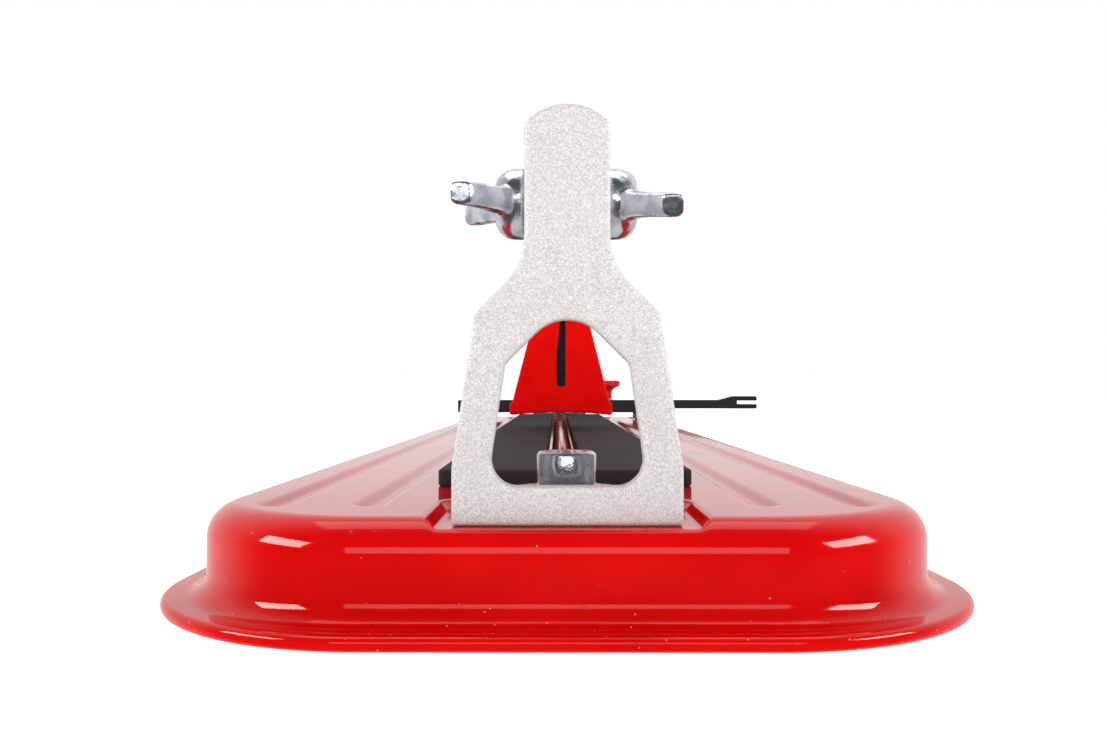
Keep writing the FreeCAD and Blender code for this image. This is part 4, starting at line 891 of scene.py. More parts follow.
def carried(section, stations, shrink):
    """Closed section of (x, z) points carried along Y, drawn to its middle where it shrinks."""
    section = np.asarray(section, float)
    middle = (section.max(0) + section.min(0)) / 2
    points = middle + shrink[:, None, None] * (section - middle)
    y = np.broadcast_to(stations[:, None], points.shape[:2])
    body = np.stack([points[..., 0], y, points[..., 1]], -1)
    cap = np.broadcast_to(middle, (1, len(section), 2))
    first, last = (np.stack([cap[..., 0], end, cap[..., 1]], -1) for end in (y[:1], y[-1:]))
    return grid(np.concatenate([first, body, last]), wrap=True)


def tapered(count, shares):
    """Ones, with the first few and, in mirror order, the last few replaced."""
    values = np.ones(count)
    values[:len(shares)] = shares
    values[-len(shares):] = shares[::-1]
    return values


RIDGE_TOP_RADIUS = 2.4 * MM


def make_ridge():
    """Breaking ridge: sloping flanks under a round top, carried along with softened ends."""
    low, high = box_sides("breaking_ridge")
    base = low[2]
    crown = bend((0, high[2] - RIDGE_TOP_RADIUS), RIDGE_TOP_RADIUS, 45, 135, 15)
    section = np.concatenate([[(high[0], base), (high[0] - 0.2 * MM, base + 0.5 * MM)], crown,
                              [(low[0] + 0.2 * MM, base + 0.5 * MM), (low[0], base)],
                              np.linspace((low[0], base), (high[0], base), 8)[1:-1]])
    ends = np.array([0, 0.1, 0.35, 0.8]) * MM
    between = np.linspace(low[1], high[1], 90)[1:-1]
    stations = np.concatenate([low[1] + ends, between, high[1] - ends[::-1]])
    shrink = tapered(len(stations), (0.88, 0.94, 0.985))
    points, faces = carried(section, stations, shrink)
    points[:, 2] = np.maximum(points[:, 2], base)
    show_parts("breaking_ridge", [(points, faces)], crease=50)


# ---------------------------------------------------------------- fasteners

HEAD_CHAMFER = 0.65 * MM
THREAD_DEPTH = 0.54
ROWS_PER_PITCH = 7


def threaded(radius, low, high, pitch, turns):
    """Screw thread: the radius dips where height over pitch, less the turn, is near whole."""
    rows = max(8, int((high - low) / pitch * ROWS_PER_PITCH))
    height = np.linspace(low, high, rows)[:, None]
    phase = (height / pitch - np.linspace(0, 1, turns, endpoint=False)) % 1
    ends = np.clip(np.minimum(height - low, high - height) / pitch, 0, 1)
    depth = THREAD_DEPTH * pitch * (1 - np.abs(2 * phase - 1)) * ends
    return radius - depth, height[:, 0]


def cap_screw(head_radius, head_low, head_high, shank_radius, shank_low, socket, turns):
    """Socket screw: a drum with a chamfered head, a six-sided pocket and a threaded shank."""
    floor = head_high - 0.5 * (head_high - head_low)
    six = hexagon(socket, turns)
    mouth = np.maximum(six, socket / 2 * 1.12)
    face, shoulder = head_radius - HEAD_CHAMFER, head_high - HEAD_CHAMFER
    tip = shank_low - 0.35 * MM
    thread, heights = threaded(shank_radius, shank_low, head_low - 0.6 * MM,
                               sizes().thread_pitch, turns)
    return lathe([
        (0, floor - 0.6 * MM), (0.55 * six, floor - 0.25 * MM), (six, floor),
        (six, head_high - 0.5 * MM), (mouth, head_high - 0.08 * MM),
        (mouth + 0.15 * MM, head_high), (face - 0.15 * MM, head_high),
        (face + 0.1 * MM, head_high - 0.08 * MM),
        (head_radius - 0.1 * MM, shoulder + 0.08 * MM), (head_radius, shoulder - 0.15 * MM),
        (head_radius, head_low + 0.45 * MM), (head_radius - 0.12 * MM, head_low + 0.1 * MM),
        (head_radius - 0.35 * MM, head_low), (shank_radius, head_low),
        *zip(thread[::-1], heights[::-1]),
        (shank_radius - 0.9 * MM, tip), (0, tip),
    ], turns)


def nut(flats, bore, low, high, turns):
    """Hexagon nut: the smaller of a hexagon and a cone at each height, round a bored hole."""
    six = hexagon(flats, turns)
    crown = 0.55 * flats
    steps = np.array([0.0, 0.35, 0.7, 1.1]) * MM
    cone = crown + np.array([-0.75, -0.1, 0.35, 0.9]) * MM
    rise = np.concatenate([low + steps, high - steps[::-1]])
    around = np.minimum(six, np.concatenate([cone, cone[::-1]])[:, None])
    lead, inset = bore + 0.5 * MM, 0.4 * MM
    return lathe([(bore, low + inset), (lead, low), *zip(around, rise), (lead, high),
                  (bore, high - inset), (bore, low + inset)], turns)


def washer(outer, bore, low, high, turns, edge=0.22 * MM):
    """Flat ring with rolled-over edges, its section closed on itself."""
    corners = [(bore, (low + high) / 2), (bore, high), (outer, high), (outer, low), (bore, low),
               (bore, (low + high) / 2)]
    path = rounded(corners, edge, 4)
    return revolve(path[:, 0], path[:, 1], turns)


def button_screw(head_radius, seat, top, shank_radius, tip, socket, turns):
    """Button-head screw along Z: a domed head with a six-sided pocket and a plain shank."""
    six = hexagon(socket, turns)
    rise = top - seat
    pocket = top - 0.55 * rise
    dome = bend((0, 0), 1, 20, 62, 7)[::-1] / (0.94, 0.883)
    return lathe([
        (0, pocket), (0.98 * six, pocket), (six, pocket + 0.1 * MM), (six, top - 0.1 * MM),
        *zip(head_radius * dome[:, 0], seat + rise * dome[:, 1]),
        (head_radius, seat + 0.18 * rise), (head_radius - 0.15 * MM, seat),
        (shank_radius, seat), (shank_radius, tip + 0.4 * MM),
        (shank_radius - 0.4 * MM, tip), (0, tip),
    ], turns)


M8_SOCKET = 6.0 * MM
M8_ACROSS_CORNERS = 1.1547
M8_SHANK_TO_FLATS = 8 / 13
BORE_GAP = 0.3 * MM


def make_bracket_fasteners():
    """Cap screws, wide washers and nuts of both brackets, turned on their own axes."""
    turns = sizes().turns
    screw_low, screw_high = box_sides("bracket_screws")
    washer_low, washer_high = box_sides("bracket_washers")
    nut_low, nut_high = box_sides("bracket_nuts")
    head = screw_high[0]
    place = (0, screw_low[1] + head, 0)
    shank = nut_high[0] / M8_ACROSS_CORNERS * M8_SHANK_TO_FLATS
    screw = cap_screw(head, washer_high[2], screw_high[2], shank, screw_low[2] + 0.35 * MM,
                      M8_SOCKET, 2 * turns)
    ring = washer(washer_high[0], shank + BORE_GAP, washer_low[2], washer_high[2], turns)
    six = nut(2 * (nut_high[1] - (screw_high[1] - head)), shank, nut_low[2], nut_high[2], turns)
    for node, part in (("bracket_screws", screw), ("bracket_washers", ring), ("bracket_nuts", six)):
        points, faces = part
        front = (points + place, faces)
        show_parts(node, [front, half_turned(front)], crease=32)


# ---------------------------------------------------------------- brackets and wing screws

def make_brackets():
    """Die-cast brackets, recast from their own shape."""
    for node in ("front_bracket", "rear_bracket"):
        show(node, recast(node, sizes().casting_voxel), crease=60)


ALONG_RAIL_WIDTH = (1, 0, 0)
HUB_START = 9.05 * MM
HUB_HEIGHT = 6.6 * MM
HUB_RADIUS = 7.8 * MM
HUB_INNER_EDGE = 0.7 * MM
HUB_DOME_LENGTH = 4.6 * MM
HUB_DOME_FALL = 3.8 * MM
SHANK_RADIUS = 4 * MM
WING_REACH = 16 * MM
WING_HALF_WIDTH = 2.5 * MM
WING_ROOT = 5.6 * MM
WING_OUTER_LEAN = 0.76
WING_SQUARENESS = 0.52
WING_RIPPLE = 0.09 * MM
WING_TURNS = {"left": math.radians(1.7), "right": math.radians(11.3)}


def wing_screw_hub():
    """Round hub on a plain shank, along X; its outer rim is a quarter of an ellipse."""
    top = HUB_START + HUB_HEIGHT
    dome = bend((0, 0), 1, 90, 0, 12) * (HUB_DOME_FALL, HUB_DOME_LENGTH)
    dome += (HUB_RADIUS - HUB_DOME_FALL, top - HUB_DOME_LENGTH)
    face = np.concatenate([[(0, top)], dome])
    back = rounded([tuple(dome[-1]), (HUB_RADIUS, HUB_START), (SHANK_RADIUS, HUB_START)],
                   HUB_INNER_EDGE, 5)
    tip = [(SHANK_RADIUS, 1.5 * MM), (SHANK_RADIUS - 0.5 * MM, MM), (0, MM)]
    return turned(np.concatenate([face, back, tip]), 64, ALONG_RAIL_WIDTH, (0, 0, 0))


def wing_screw_bar():
    """Both wings as one bar across the hub.

    At each distance y from the axis the section is a superellipse between an inner and an outer
    face, and both faces lean away from the bracket as y grows.
    """
    ends = np.array([0, 0.1, 0.3, 0.7]) * MM
    y = np.concatenate([-WING_REACH + ends, np.linspace(-WING_REACH, WING_REACH, 42)[2:-2],
                        WING_REACH - ends[::-1]])
    away = np.abs(y)
    inner = HUB_START + 0.6 * MM + np.maximum(away - WING_ROOT, 0)
    outer = HUB_START + 6.3 * MM + WING_OUTER_LEAN * np.maximum(away - 4 * MM, 0)
    shrink = tapered(len(y), (0.80, 0.90, 0.97))
    flare = 1 + 0.22 * np.exp(-((away - WING_ROOT) / (3 * MM)) ** 2)
    angle = np.linspace(0, 2 * math.pi, 36, endpoint=False)
    across = np.sign(np.cos(angle)) * np.abs(np.cos(angle)) ** WING_SQUARENESS
    up = np.sign(np.sin(angle)) * np.abs(np.sin(angle)) ** WING_SQUARENESS
    middle = ((inner + outer) / 2)[:, None]
    half = ((outer - inner) / 2 * shrink)[:, None]
    x = middle + half * across
    z = (WING_HALF_WIDTH * shrink * flare)[:, None] * up
    y = np.broadcast_to(y[:, None], x.shape)
    body = np.stack([x, y, z], -1)
    caps = np.stack([np.broadcast_to(middle, x.shape), y, 0 * z], -1)
    return grid(np.concatenate([caps[:1], body, caps[-1:]]), wrap=True)


def make_wing_screws():
    """Wing screws: hub and bar melted into one forging, turned on the axis as each one stands."""
    blank = new_mesh("wing_screw", [wing_screw_hub(), wing_screw_bar()])
    forging = relaxed("wing_screw", blank, sizes().small_voxel, rounds=5)
    forging = rippled(forging, WING_RIPPLE, length=3.5 * MM, seed=5)
    points = vertex_values(forging, "co")
    for end, way in (("front", 1), ("rear", -1)):
        for side, sign in (("left", -1), ("right", 1)):
            node = f"{end}_{side}_wing_screw"
            turn = WING_TURNS[side]
            low, high = box_sides(node)
            middle = (low + high) / 2
            y = points[:, 1] * math.cos(turn) - points[:, 2] * math.sin(turn)
            z = points[:, 1] * math.sin(turn) + points[:, 2] * math.cos(turn)
            placed = np.stack([points[:, 0] * sign, y * way + middle[1], z + middle[2]], -1)
            mesh = forging.copy()
            mesh.vertices.foreach_set("co", placed.ravel())
            close(mesh, SEAM_GAP / 2)
            show(node, mesh, crease=70)


# ---------------------------------------------------------------- carriage

GROOVE_RADIUS = 6.3 * MM
ROLLER_FLOOR = 6.0 * MM
ROLLER_DISH = 0.8 * MM
ROLLER_PLACES = ("upper_front", "upper_rear", "lower_front", "lower_rear")
AXLE_RADIUS = 3 * MM
AXLE_HEAD_MOST = 5 * MM
CLIP_WIDTH = 1.2 * MM
CLIP_GROOVE = 0.35 * MM


def make_rollers():
    """Grooved rollers: a drum whose middle follows the rail's round edge, with dished sides."""
    turns = sizes().turns
    for place in ROLLER_PLACES:
        node = place + "_roller"
        low, high = box_sides(node)
        middle = (low + high) / 2
        half, radius = high[0], (high[1] - low[1]) / 2
        centre = ROLLER_FLOOR + GROOVE_RADIUS
        edge = math.degrees(math.acos(min(1, (centre - radius) / GROOVE_RADIUS)))
        groove = bend((centre, 0), GROOVE_RADIUS, 180 - edge, 180 + edge, 25)
        bore = AXLE_RADIUS + 0.05 * MM
        dish = half - ROLLER_DISH
        side = rounded([(bore, 0), (bore, half), (5.0 * MM, half), (5.3 * MM, dish),
                        (7.4 * MM, dish), (7.7 * MM, half), (radius, half),
                        (radius, groove[0, 1])], 0.35 * MM, 4)
        path = np.concatenate([side, groove, side[::-1] * (1, -1)])
        part = turned(path, turns, ALONG_RAIL_WIDTH, middle * (0, 1, 1))
        show_parts(node, [part], crease=40)


def rivet(radius, head_radius, inner, outer, turns):
    """Riveted axle: a shank between two low domed heads, along Z and the same at both ends."""
    dome = bend((0, 0), 1, 8, 90, 8)
    rise = outer - inner
    head = np.column_stack([dome[:, 0] * head_radius, inner + rise * (0.25 + 0.75 * dome[:, 1])])
    shank = [(radius, 0), (radius, inner), (head_radius - 0.1 * MM, inner)]
    path = mirrored(np.concatenate([shank, head]))
    return revolve(path[:, 0], path[:, 1], turns)


def make_axles():
    """Roller axles, lever pivot and the clips on it."""
    turns = sizes().turns
    low, high = box_sides("roller_axles")
    cheek_outside = high_corner("right_cheek")[0]
    upper_low, upper_high = box_sides("upper_front_roller")
    head = min((upper_low[1] + upper_high[1]) / 2 - low[1], AXLE_HEAD_MOST)
    parts = []
    for place in ROLLER_PLACES:
        roller_low, roller_high = box_sides(place + "_roller")
        middle = (roller_low + roller_high) / 2 * (0, 1, 1)
        radius = head if place == "upper_front" else AXLE_HEAD_MOST
        axle = rivet(AXLE_RADIUS, radius, cheek_outside, high[0], 48)
        parts.append(aimed(axle, ALONG_RAIL_WIDTH, middle))
    show_parts("roller_axles", parts, crease=45)

    low, high = box_sides("pivot_pin")
    middle = (low + high) / 2 * (0, 1, 1)
    radius = (high[2] - low[2]) / 2
    groove = radius - CLIP_GROOVE
    end = high[0]
    clip_low, clip_high = box_sides("pivot_clips")
    outside = clip_high[0]
    start = outside - CLIP_WIDTH
    path = mirrored([(radius, 0), (radius, start), (groove, start), (groove, outside),
                     (radius, outside), (radius, end - 0.5 * MM), (radius - 0.5 * MM, end),
                     (0, end)])
    pin = turned(path, turns, ALONG_RAIL_WIDTH, middle)
    show_parts("pivot_pin", [pin])
    ring = washer((clip_high[2] - clip_low[2]) / 2, groove, start, outside, turns, 0.3 * MM)
    clips = [aimed(ring, (side, 0, 0), middle) for side in (-1, 1)]
    show_parts("pivot_clips", clips)


# ---------------------------------------------------------------- lever

def make_castings():
    """Fork and breaker foot, recast so that their edges are round under the paint."""
    for node in ("lever_fork", "breaker_foot"):
        mesh = recast(node, sizes().casting_voxel, rounds=4, ripple=0.05 * MM, length=7 * MM)
        show(node, mesh, crease=60)


M5_SOCKET = 3.0 * MM
M5_RADIUS = 2.5 * MM
M5_REACH = 8 * MM


def make_side_screws():
    """Button-head screws of the breaker foot and the wheel holder, two of each."""
    seat = high_corner("lever_fork")[0]
    for node in ("foot_screws", "holder_screws"):
        low, high = box_sides(node)
        middle = (low + high) / 2 * (0, 1, 1)
        head = (high[1] - low[1]) / 2
        screw = button_screw(head, seat, high[0], M5_RADIUS, seat - M5_REACH, M5_SOCKET, 96)
        parts = [aimed(screw, (side, 0, 0), middle) for side in (-1, 1)]
        show_parts(node, parts, crease=38)


WHEEL_BORE = 2.05 * MM


def make_cutting_wheel():
    """Cutting wheel: a thin disc ground on both sides to its edge, with a lapped boss."""
    low, high = box_sides("cutting_wheel")
    middle = (low + high) / 2 * (0, 1, 1)
    radius, half = (high[2] - low[2]) / 2, high[0]
    side = np.array([(WHEEL_BORE, 0), (WHEEL_BORE, half), (3.6 * MM, half),
                     (3.8 * MM, half - 0.12 * MM), (radius - 2.0 * MM, half - 0.12 * MM),
                     (radius - 1.8 * MM, half - 0.16 * MM), (radius, 0)])
    path = np.concatenate([side, (side * (1, -1))[::-1]])
    part = turned(path, 128, ALONG_RAIL_WIDTH, middle)
    show_parts("cutting_wheel", [part], crease=12)


HANDLE_RISE = math.tan(math.radians(1.0))
TUBE_WALL = 1.5 * MM
RIB_PITCH = 6 * MM
RIB_DEPTH = 0.8 * MM
GRIP_END = 2.5 * MM
GRIP_PLAIN_END = 12 * MM
GRIP_WAIST = 0.7 * MM


def make_handle():
    """Tube, ribbed grip and end cap, all turned about the handle's gently rising axis."""
    turns = sizes().turns
    tube_low, tube_high = box_sides("lever_tube")
    grip_low, grip_high = box_sides("grip")
    cap_low, cap_high = box_sides("grip_cap")
    tube_radius, grip_radius, cap_radius = tube_high[0], grip_high[0], cap_high[0]
    axis = Vector((0, -1, HANDLE_RISE)).normalized()
    start = np.array((0, tube_high[1], tube_low[2] + tube_radius))

    tube_length = tube_high[1] - tube_low[1] - 0.3 * MM
    bore = tube_radius - TUBE_WALL
    path = rounded([(bore, tube_length / 2), (bore, tube_length), (tube_radius, tube_length),
                    (tube_radius, 0.2 * MM), (bore, 0.2 * MM), (bore, tube_length / 2)],
                   0.3 * MM, 4)
    tube = turned(path, turns, axis, start)
    show_parts("lever_tube", [tube], crease=45)

    first = tube_high[1] - grip_high[1]
    last = tube_high[1] - grip_low[1] - 0.4 * MM
    along = np.linspace(first, last, 420)
    from_end = np.minimum(along - first, last - along)
    short = np.maximum(GRIP_END - from_end, 0)
    round_end = GRIP_END - np.sqrt(np.maximum(GRIP_END ** 2 - short ** 2, 0))
    ribbed = smooth_step((from_end - GRIP_PLAIN_END) / (2 * MM))
    rib = RIB_DEPTH * np.abs(np.sin(math.pi * along / RIB_PITCH)) ** 6 * ribbed
    waist = GRIP_WAIST * np.sin(math.pi * (along - first) / (last - first)) ** 2
    angle = np.linspace(0, 2 * math.pi, turns, endpoint=False)
    flatten = 0.25 * MM * (1 + np.cos(2 * angle)) * ribbed[:, None]
    outside = (grip_radius - round_end - rib - waist)[:, None] - flatten
    sleeve = lathe([(tube_radius, first), *zip(outside, along),
                    (tube_radius, last), (tube_radius, first)], turns)
    show_parts("grip", [aimed(sleeve, axis, start)], crease=40)

    base = tube_high[1] - cap_high[1]
    end = tube_high[1] - cap_low[1] - 0.3 * MM
    dimple = end - 0.6 * MM
    path = rounded([(0, base), (cap_radius, base), (cap_radius, base + (end - base) / 2),
                    (cap_radius * 0.78, end), (cap_radius * 0.45, end),
                    (cap_radius * 0.40, dimple), (0, dimple)], 1.1 * MM, 6)
    cap = turned(path, turns, axis, start)
    show_parts("grip_cap", [cap], crease=50)


# ---------------------------------------------------------------- fence

KNOB_NECK = 9.5 * MM
KNOB_FLUTES = 12
FLUTE_DEPTH = 1.1 * MM
KNOB_BORE = 3.1 * MM
KNOB_WASHER_BORE = 3.05 * MM
FENCE_SCREW_RADIUS = 2.5 * MM


def make_knob():
    """Flared knob: a neck that curves out to a rim cut by shallow round flutes."""
    low, high = box_sides("clamp_knob")
    middle = (low + high) / 2
    radius = (high[0] - low[0]) / 2
    base, top = low[2], high[2]
    turns = KNOB_FLUTES * 12
    share = np.linspace(0, 1, 14)
    flare = np.column_stack([KNOB_NECK + (radius - KNOB_NECK) * share ** 2.2,
                             base + (top - base) * (0.30 + 0.42 * share)])
    pocket, dish = base + 7 * MM, top - 0.8 * MM
    foot = rounded([(KNOB_BORE, pocket), (KNOB_BORE, base), (KNOB_NECK, base), flare[0]],
                   0.6 * MM, 5)
    rim = rounded([flare[-1], (radius, top), (0.62 * radius, top), (0.55 * radius, dish),
                   (0, dish)], 1.5 * MM, 7)
    path = np.concatenate([[(0, pocket)], foot, flare[1:], rim])
    angle = np.linspace(0, 2 * math.pi, turns, endpoint=False)
    flute = (1 - np.cos(KNOB_FLUTES * angle)) / 2
    depth = FLUTE_DEPTH * smooth_step((path[:, 0] - 0.70 * radius) / (0.30 * radius))
    around = path[:, :1] - depth[:, None] * flute ** 1.5
    knob = revolve(around, path[:, 1], turns)
    show_parts("clamp_knob", moved([knob], middle[0], middle[1], 0), crease=50)

    low, high = box_sides("knob_washer")
    ring = washer((high[0] - low[0]) / 2, KNOB_WASHER_BORE, low[2], high[2], 96)
    show_parts("knob_washer", moved([ring], middle[0], middle[1], 0))


def make_fence_hardware():
    """Spacers and nuts of the fence, one of each at both sides."""
    low, high = box_sides("fence_spacers")
    radius = (high[1] - low[1]) / 2
    y = (low[1] + high[1]) / 2
    place = high[0] - radius
    ring = washer(radius, FENCE_SCREW_RADIUS, low[2], high[2], 64)
    nut_low, nut_high = box_sides("fence_nuts")
    flats = nut_high[1] - nut_low[1]
    six = nut(flats, FENCE_SCREW_RADIUS, nut_low[2], nut_high[2], sizes().turns)
    for node, part in (("fence_spacers", ring), ("fence_nuts", six)):
        parts = moved([part], place, y, 0) + moved([part], -place, y, 0)
        show_parts(node, parts, crease=38)


# ---------------------------------------------------------------- under the base

FOOT_VOXEL = 0.9 * MM


def make_feet():
    """Rubber feet: their own shape with relaxed edges."""
    mesh = recast("rubber_feet", FOOT_VOXEL, rounds=2, ripple=0.02 * MM, length=9 * MM)
    show("rubber_feet", mesh, crease=60)


# ---------------------------------------------------------------- stage

CAMERA_PLACE = (-2.1 * MM, -535 * MM, 48.7 * MM)
CAMERA_LENS = 30.9
CAMERA_RANGE = (0.01, 50)
CAMERA_PITCH = math.radians(1.18)
CAMERA_YAW = math.radians(0.21)
ROOM_DIM = 0.10
ROOM_BRIGHT = 0.88
FLOOR_HALF = 6.0
FLOOR_GAP = 0.02 * MM
LAMPS = {
    # name: place, target, width, height, power
    "left_softbox": ((-0.77, -0.65, 0.39), (0, -0.35, 0.03), 0.46, 0.24, 5.5),
    "right_softbox": ((0.77, -0.65, 0.39), (0, -0.35, 0.03), 0.46, 0.24, 5.5),
    "front_fill": ((0.0, -1.25, 0.32), (0, -0.3, 0.05), 0.9, 0.30, 2.1),
    "top_softbox": ((0.0, 0.05, 1.25), (0, 0, 0), 1.3, 0.8, 5.0),
}


def make_floor():
    """Pale bench top under the feet."""
    z = CAD_LOW[2] - FLOOR_GAP
    x, y = np.meshgrid((-FLOOR_HALF, FLOOR_HALF), (-FLOOR_HALF, FLOOR_HALF))
    corners = np.stack([x, y, np.full_like(x, z)], -1)
    mesh = new_mesh("bench_floor", [grid(corners)])
    floor = bpy.data.objects.new("bench_floor", mesh)
    bpy.context.scene.collection.objects.link(floor)
    made = Finish("pale_bench", Roughness=0.7, Emission_Strength=0.7)
    pale = tuple(colours().floor)
    patches = made.use(mottle_effect(), Scale=4.0)["Mask"]
    tone = made.blend(patches, shaded(pale, 0.985), pale)
    made.shader.inputs["Emission Color"].default_value = (1, 1, 1, 1)
    made.join(Base_Color=tone)
    mesh.materials.append(made.material)
    floor.visible_glossy = False


def make_lamps():
    """Soft boxes in front to both sides, a weak one behind the camera and a wide one above."""
    for name, (place, target, width, height, power) in LAMPS.items():
        lamp = bpy.data.lights.new(name, "AREA")
        lamp.shape = "RECTANGLE"
        lamp.size, lamp.size_y, lamp.energy = width, height, power
        holder = bpy.data.objects.new(name, lamp)
        holder.location = place
        holder.rotation_euler = (Vector(target) - Vector(place)).to_track_quat("-Z", "Y").to_euler()
        bpy.context.scene.collection.objects.link(holder)


def make_surroundings():
    """White room that is dim on the side where the user stands; seen directly it is plain white."""
    world = bpy.data.worlds.new("studio")
    world.use_nodes = True
    tree = world.node_tree
    tree.nodes.clear()
    way = add(tree, "SeparateXYZ", {0: add(tree, "TexCoord").outputs["Generated"]})
    bright = ramp(tree, way.outputs["Y"], -0.35, 0.45, ROOM_DIM, ROOM_BRIGHT)
    seen = add(tree, "LightPath").outputs["Is Camera Ray"]
    level = add(tree, "Math", {0: bright, 1: seen}, operation="MAXIMUM").outputs[0]
    glow = add(tree, "Background", {"Color": (1, 1, 1, 1), "Strength": level})
    target = add(tree, "OutputWorld")
    tree.links.new(glow.outputs[0], target.inputs["Surface"])
    bpy.context.scene.world = world


def make_camera():
    """Low camera at the user's end, looking along the rail."""
    lens = bpy.data.cameras.new("camera")
    lens.lens = CAMERA_LENS
    lens.clip_start, lens.clip_end = CAMERA_RANGE
    camera = bpy.data.objects.new("camera", lens)
    camera.location = CAMERA_PLACE
    ahead = Vector((-math.sin(CAMERA_YAW), math.cos(CAMERA_YAW), math.tan(CAMERA_PITCH)))
    camera.rotation_euler = ahead.to_track_quat("-Z", "Y").to_euler()
    bpy.context.scene.collection.objects.link(camera)
    bpy.context.scene.camera = camera
    bpy.context.scene.view_settings.view_transform = "Standard"


# ---------------------------------------------------------------- operators

class CUTTER_OT_pan(bpy.types.Operator):
    """Builds the pressed and enamelled base pan"""

    bl_idname = "tile_cutter.pan"
    bl_label = "Base Pan"

    def execute(self, context):
        make_base_pan()
        return {"FINISHED"}


class CUTTER_OT_bed(bpy.types.Operator):
    """Builds the cushion sheets and the breaking ridge between them"""

    bl_idname = "tile_cutter.bed"
    bl_label = "Pads and Ridge"

    def execute(self, context):
        make_pads()
        make_ridge()
        return {"FINISHED"}


class CUTTER_OT_underside(bpy.types.Operator):
    """Finishes the stiffening beam and the rubber feet"""

    bl_idname = "tile_cutter.underside"
    bl_label = "Beam and Feet"

    def execute(self, context):
        refinish("centre_beam")
        make_feet()
        return {"FINISHED"}


class CUTTER_OT_brackets(bpy.types.Operator):
    """Builds the two blasted end brackets"""

    bl_idname = "tile_cutter.brackets"
    bl_label = "Brackets"

    def execute(self, context):
        make_brackets()
        return {"FINISHED"}


class CUTTER_OT_bracket_fasteners(bpy.types.Operator):
    """Turns the cap screws, washers and nuts that hold the brackets"""

    bl_idname = "tile_cutter.bracket_fasteners"
    bl_label = "Bracket Fasteners"

    def execute(self, context):
        make_bracket_fasteners()
        return {"FINISHED"}


class CUTTER_OT_wing_screws(bpy.types.Operator):
    """Forges the four wing screws"""

    bl_idname = "tile_cutter.wing_screws"
    bl_label = "Wing Screws"

    def execute(self, context):
        make_wing_screws()
        return {"FINISHED"}


class CUTTER_OT_rail(bpy.types.Operator):
    """Finishes the rail, its height blocks, their screws and the rubber stops"""

    bl_idname = "tile_cutter.rail"
    bl_label = "Rail"

    def execute(self, context):
        refinish("guide_rail", "front_end_block", "rear_end_block", "end_screws", "rail_stops")
        return {"FINISHED"}


class CUTTER_OT_carriage(bpy.types.Operator):
    """Builds the rollers, axles and lever pivot, and finishes the side plates"""

    bl_idname = "tile_cutter.carriage"
    bl_label = "Carriage"

    def execute(self, context):
        refinish("left_cheek", "right_cheek")
        make_rollers()
        make_axles()
        return {"FINISHED"}


class CUTTER_OT_lever(bpy.types.Operator):
    """Builds the red lever castings and their screws, and finishes the rest pad and the black strip
    in the foot's slot, which is painted shade
    """

    bl_idname = "tile_cutter.lever"
    bl_label = "Lever Castings"

    def execute(self, context):
        make_castings()
        make_side_screws()
        # slot_strip is a black strip set in the breaker foot's slot as painted shade: it stands in
        # for the shadow deep inside the slot
        refinish("lever_bumper", "slot_strip")
        return {"FINISHED"}


class CUTTER_OT_wheel(bpy.types.Operator):
    """Builds the cutting wheel and finishes its holder and axle"""

    bl_idname = "tile_cutter.wheel"
    bl_label = "Cutting Wheel"

    def execute(self, context):
        make_cutting_wheel()
        refinish("wheel_holder", "wheel_axle")
        return {"FINISHED"}


class CUTTER_OT_handle(bpy.types.Operator):
    """Builds the chromed tube with its ribbed grip and cap"""

    bl_idname = "tile_cutter.handle"
    bl_label = "Handle"

    def execute(self, context):
        make_handle()
        return {"FINISHED"}


class CUTTER_OT_fence(bpy.types.Operator):
    """Builds the fence's hardware and finishes the bar and the measuring arm"""

    bl_idname = "tile_cutter.fence"
    bl_label = "Fence"

    def execute(self, context):
        make_fence_hardware()
        refinish("fence_bar", "measuring_arm", "fence_screws")
        return {"FINISHED"}


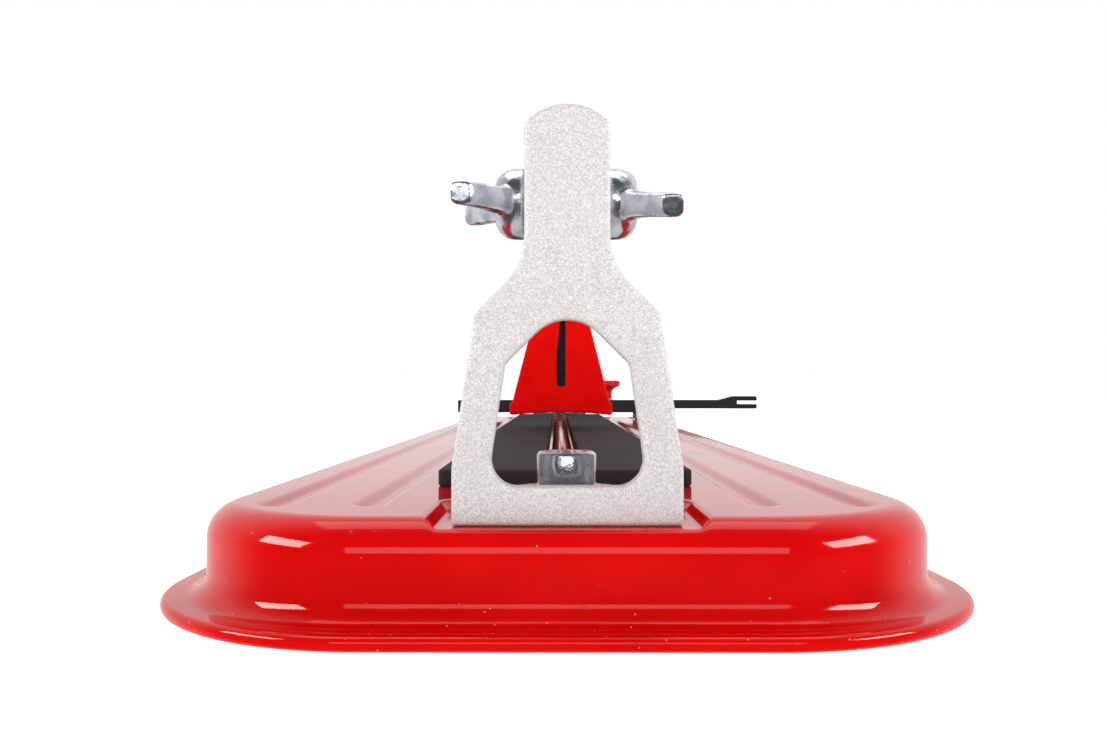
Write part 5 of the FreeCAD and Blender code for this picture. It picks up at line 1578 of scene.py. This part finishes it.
class CUTTER_OT_knob(bpy.types.Operator):
    """Builds the clamp knob and its washer, and finishes its stud"""

    bl_idname = "tile_cutter.knob"
    bl_label = "Clamp Knob"

    def execute(self, context):
        make_knob()
        refinish("knob_stud")
        return {"FINISHED"}


class CUTTER_OT_stage(bpy.types.Operator):
    """Sets up the floor, the lamps, the surroundings and the camera"""

    bl_idname = "tile_cutter.stage"
    bl_label = "Stage"

    def execute(self, context):
        make_floor()
        make_lamps()
        make_surroundings()
        make_camera()
        return {"FINISHED"}


OPERATORS = (
    CUTTER_OT_pan, CUTTER_OT_bed, CUTTER_OT_underside, CUTTER_OT_brackets,
    CUTTER_OT_bracket_fasteners, CUTTER_OT_wing_screws, CUTTER_OT_rail, CUTTER_OT_carriage,
    CUTTER_OT_lever, CUTTER_OT_wheel, CUTTER_OT_handle, CUTTER_OT_fence, CUTTER_OT_knob,
    CUTTER_OT_stage,
)


class CUTTER_PT_panel(bpy.types.Panel):
    """Lists the cutter's pieces, sizes and colours"""

    bl_idname = "CUTTER_PT_panel"
    bl_label = "Tile Cutter"
    bl_space_type = "VIEW_3D"
    bl_region_type = "UI"
    bl_category = "Tile Cutter"

    def draw(self, context):
        layout = self.layout
        for operator in OPERATORS:
            layout.operator(operator.bl_idname)
        for group in (context.scene.cutter_sizes, context.scene.cutter_colours):
            for name in group.bl_rna.properties.keys():
                if name not in ("rna_type", "name"):
                    layout.prop(group, name)


CLASSES = (CutterSizes, CutterColours, *OPERATORS, CUTTER_PT_panel)


def register():
    for cls in CLASSES:
        bpy.utils.register_class(cls)
    bpy.types.Scene.cutter_sizes = PointerProperty(type=CutterSizes)
    bpy.types.Scene.cutter_colours = PointerProperty(type=CutterColours)


def unregister():
    del bpy.types.Scene.cutter_colours
    del bpy.types.Scene.cutter_sizes
    for cls in reversed(CLASSES):
        bpy.utils.unregister_class(cls)


def main():
    """Registers the add-on and builds every piece in order."""
    register()
    for operator in OPERATORS:
        group, name = operator.bl_idname.split(".")
        getattr(getattr(bpy.ops, group), name)()


if __name__ == "__main__":
    main()
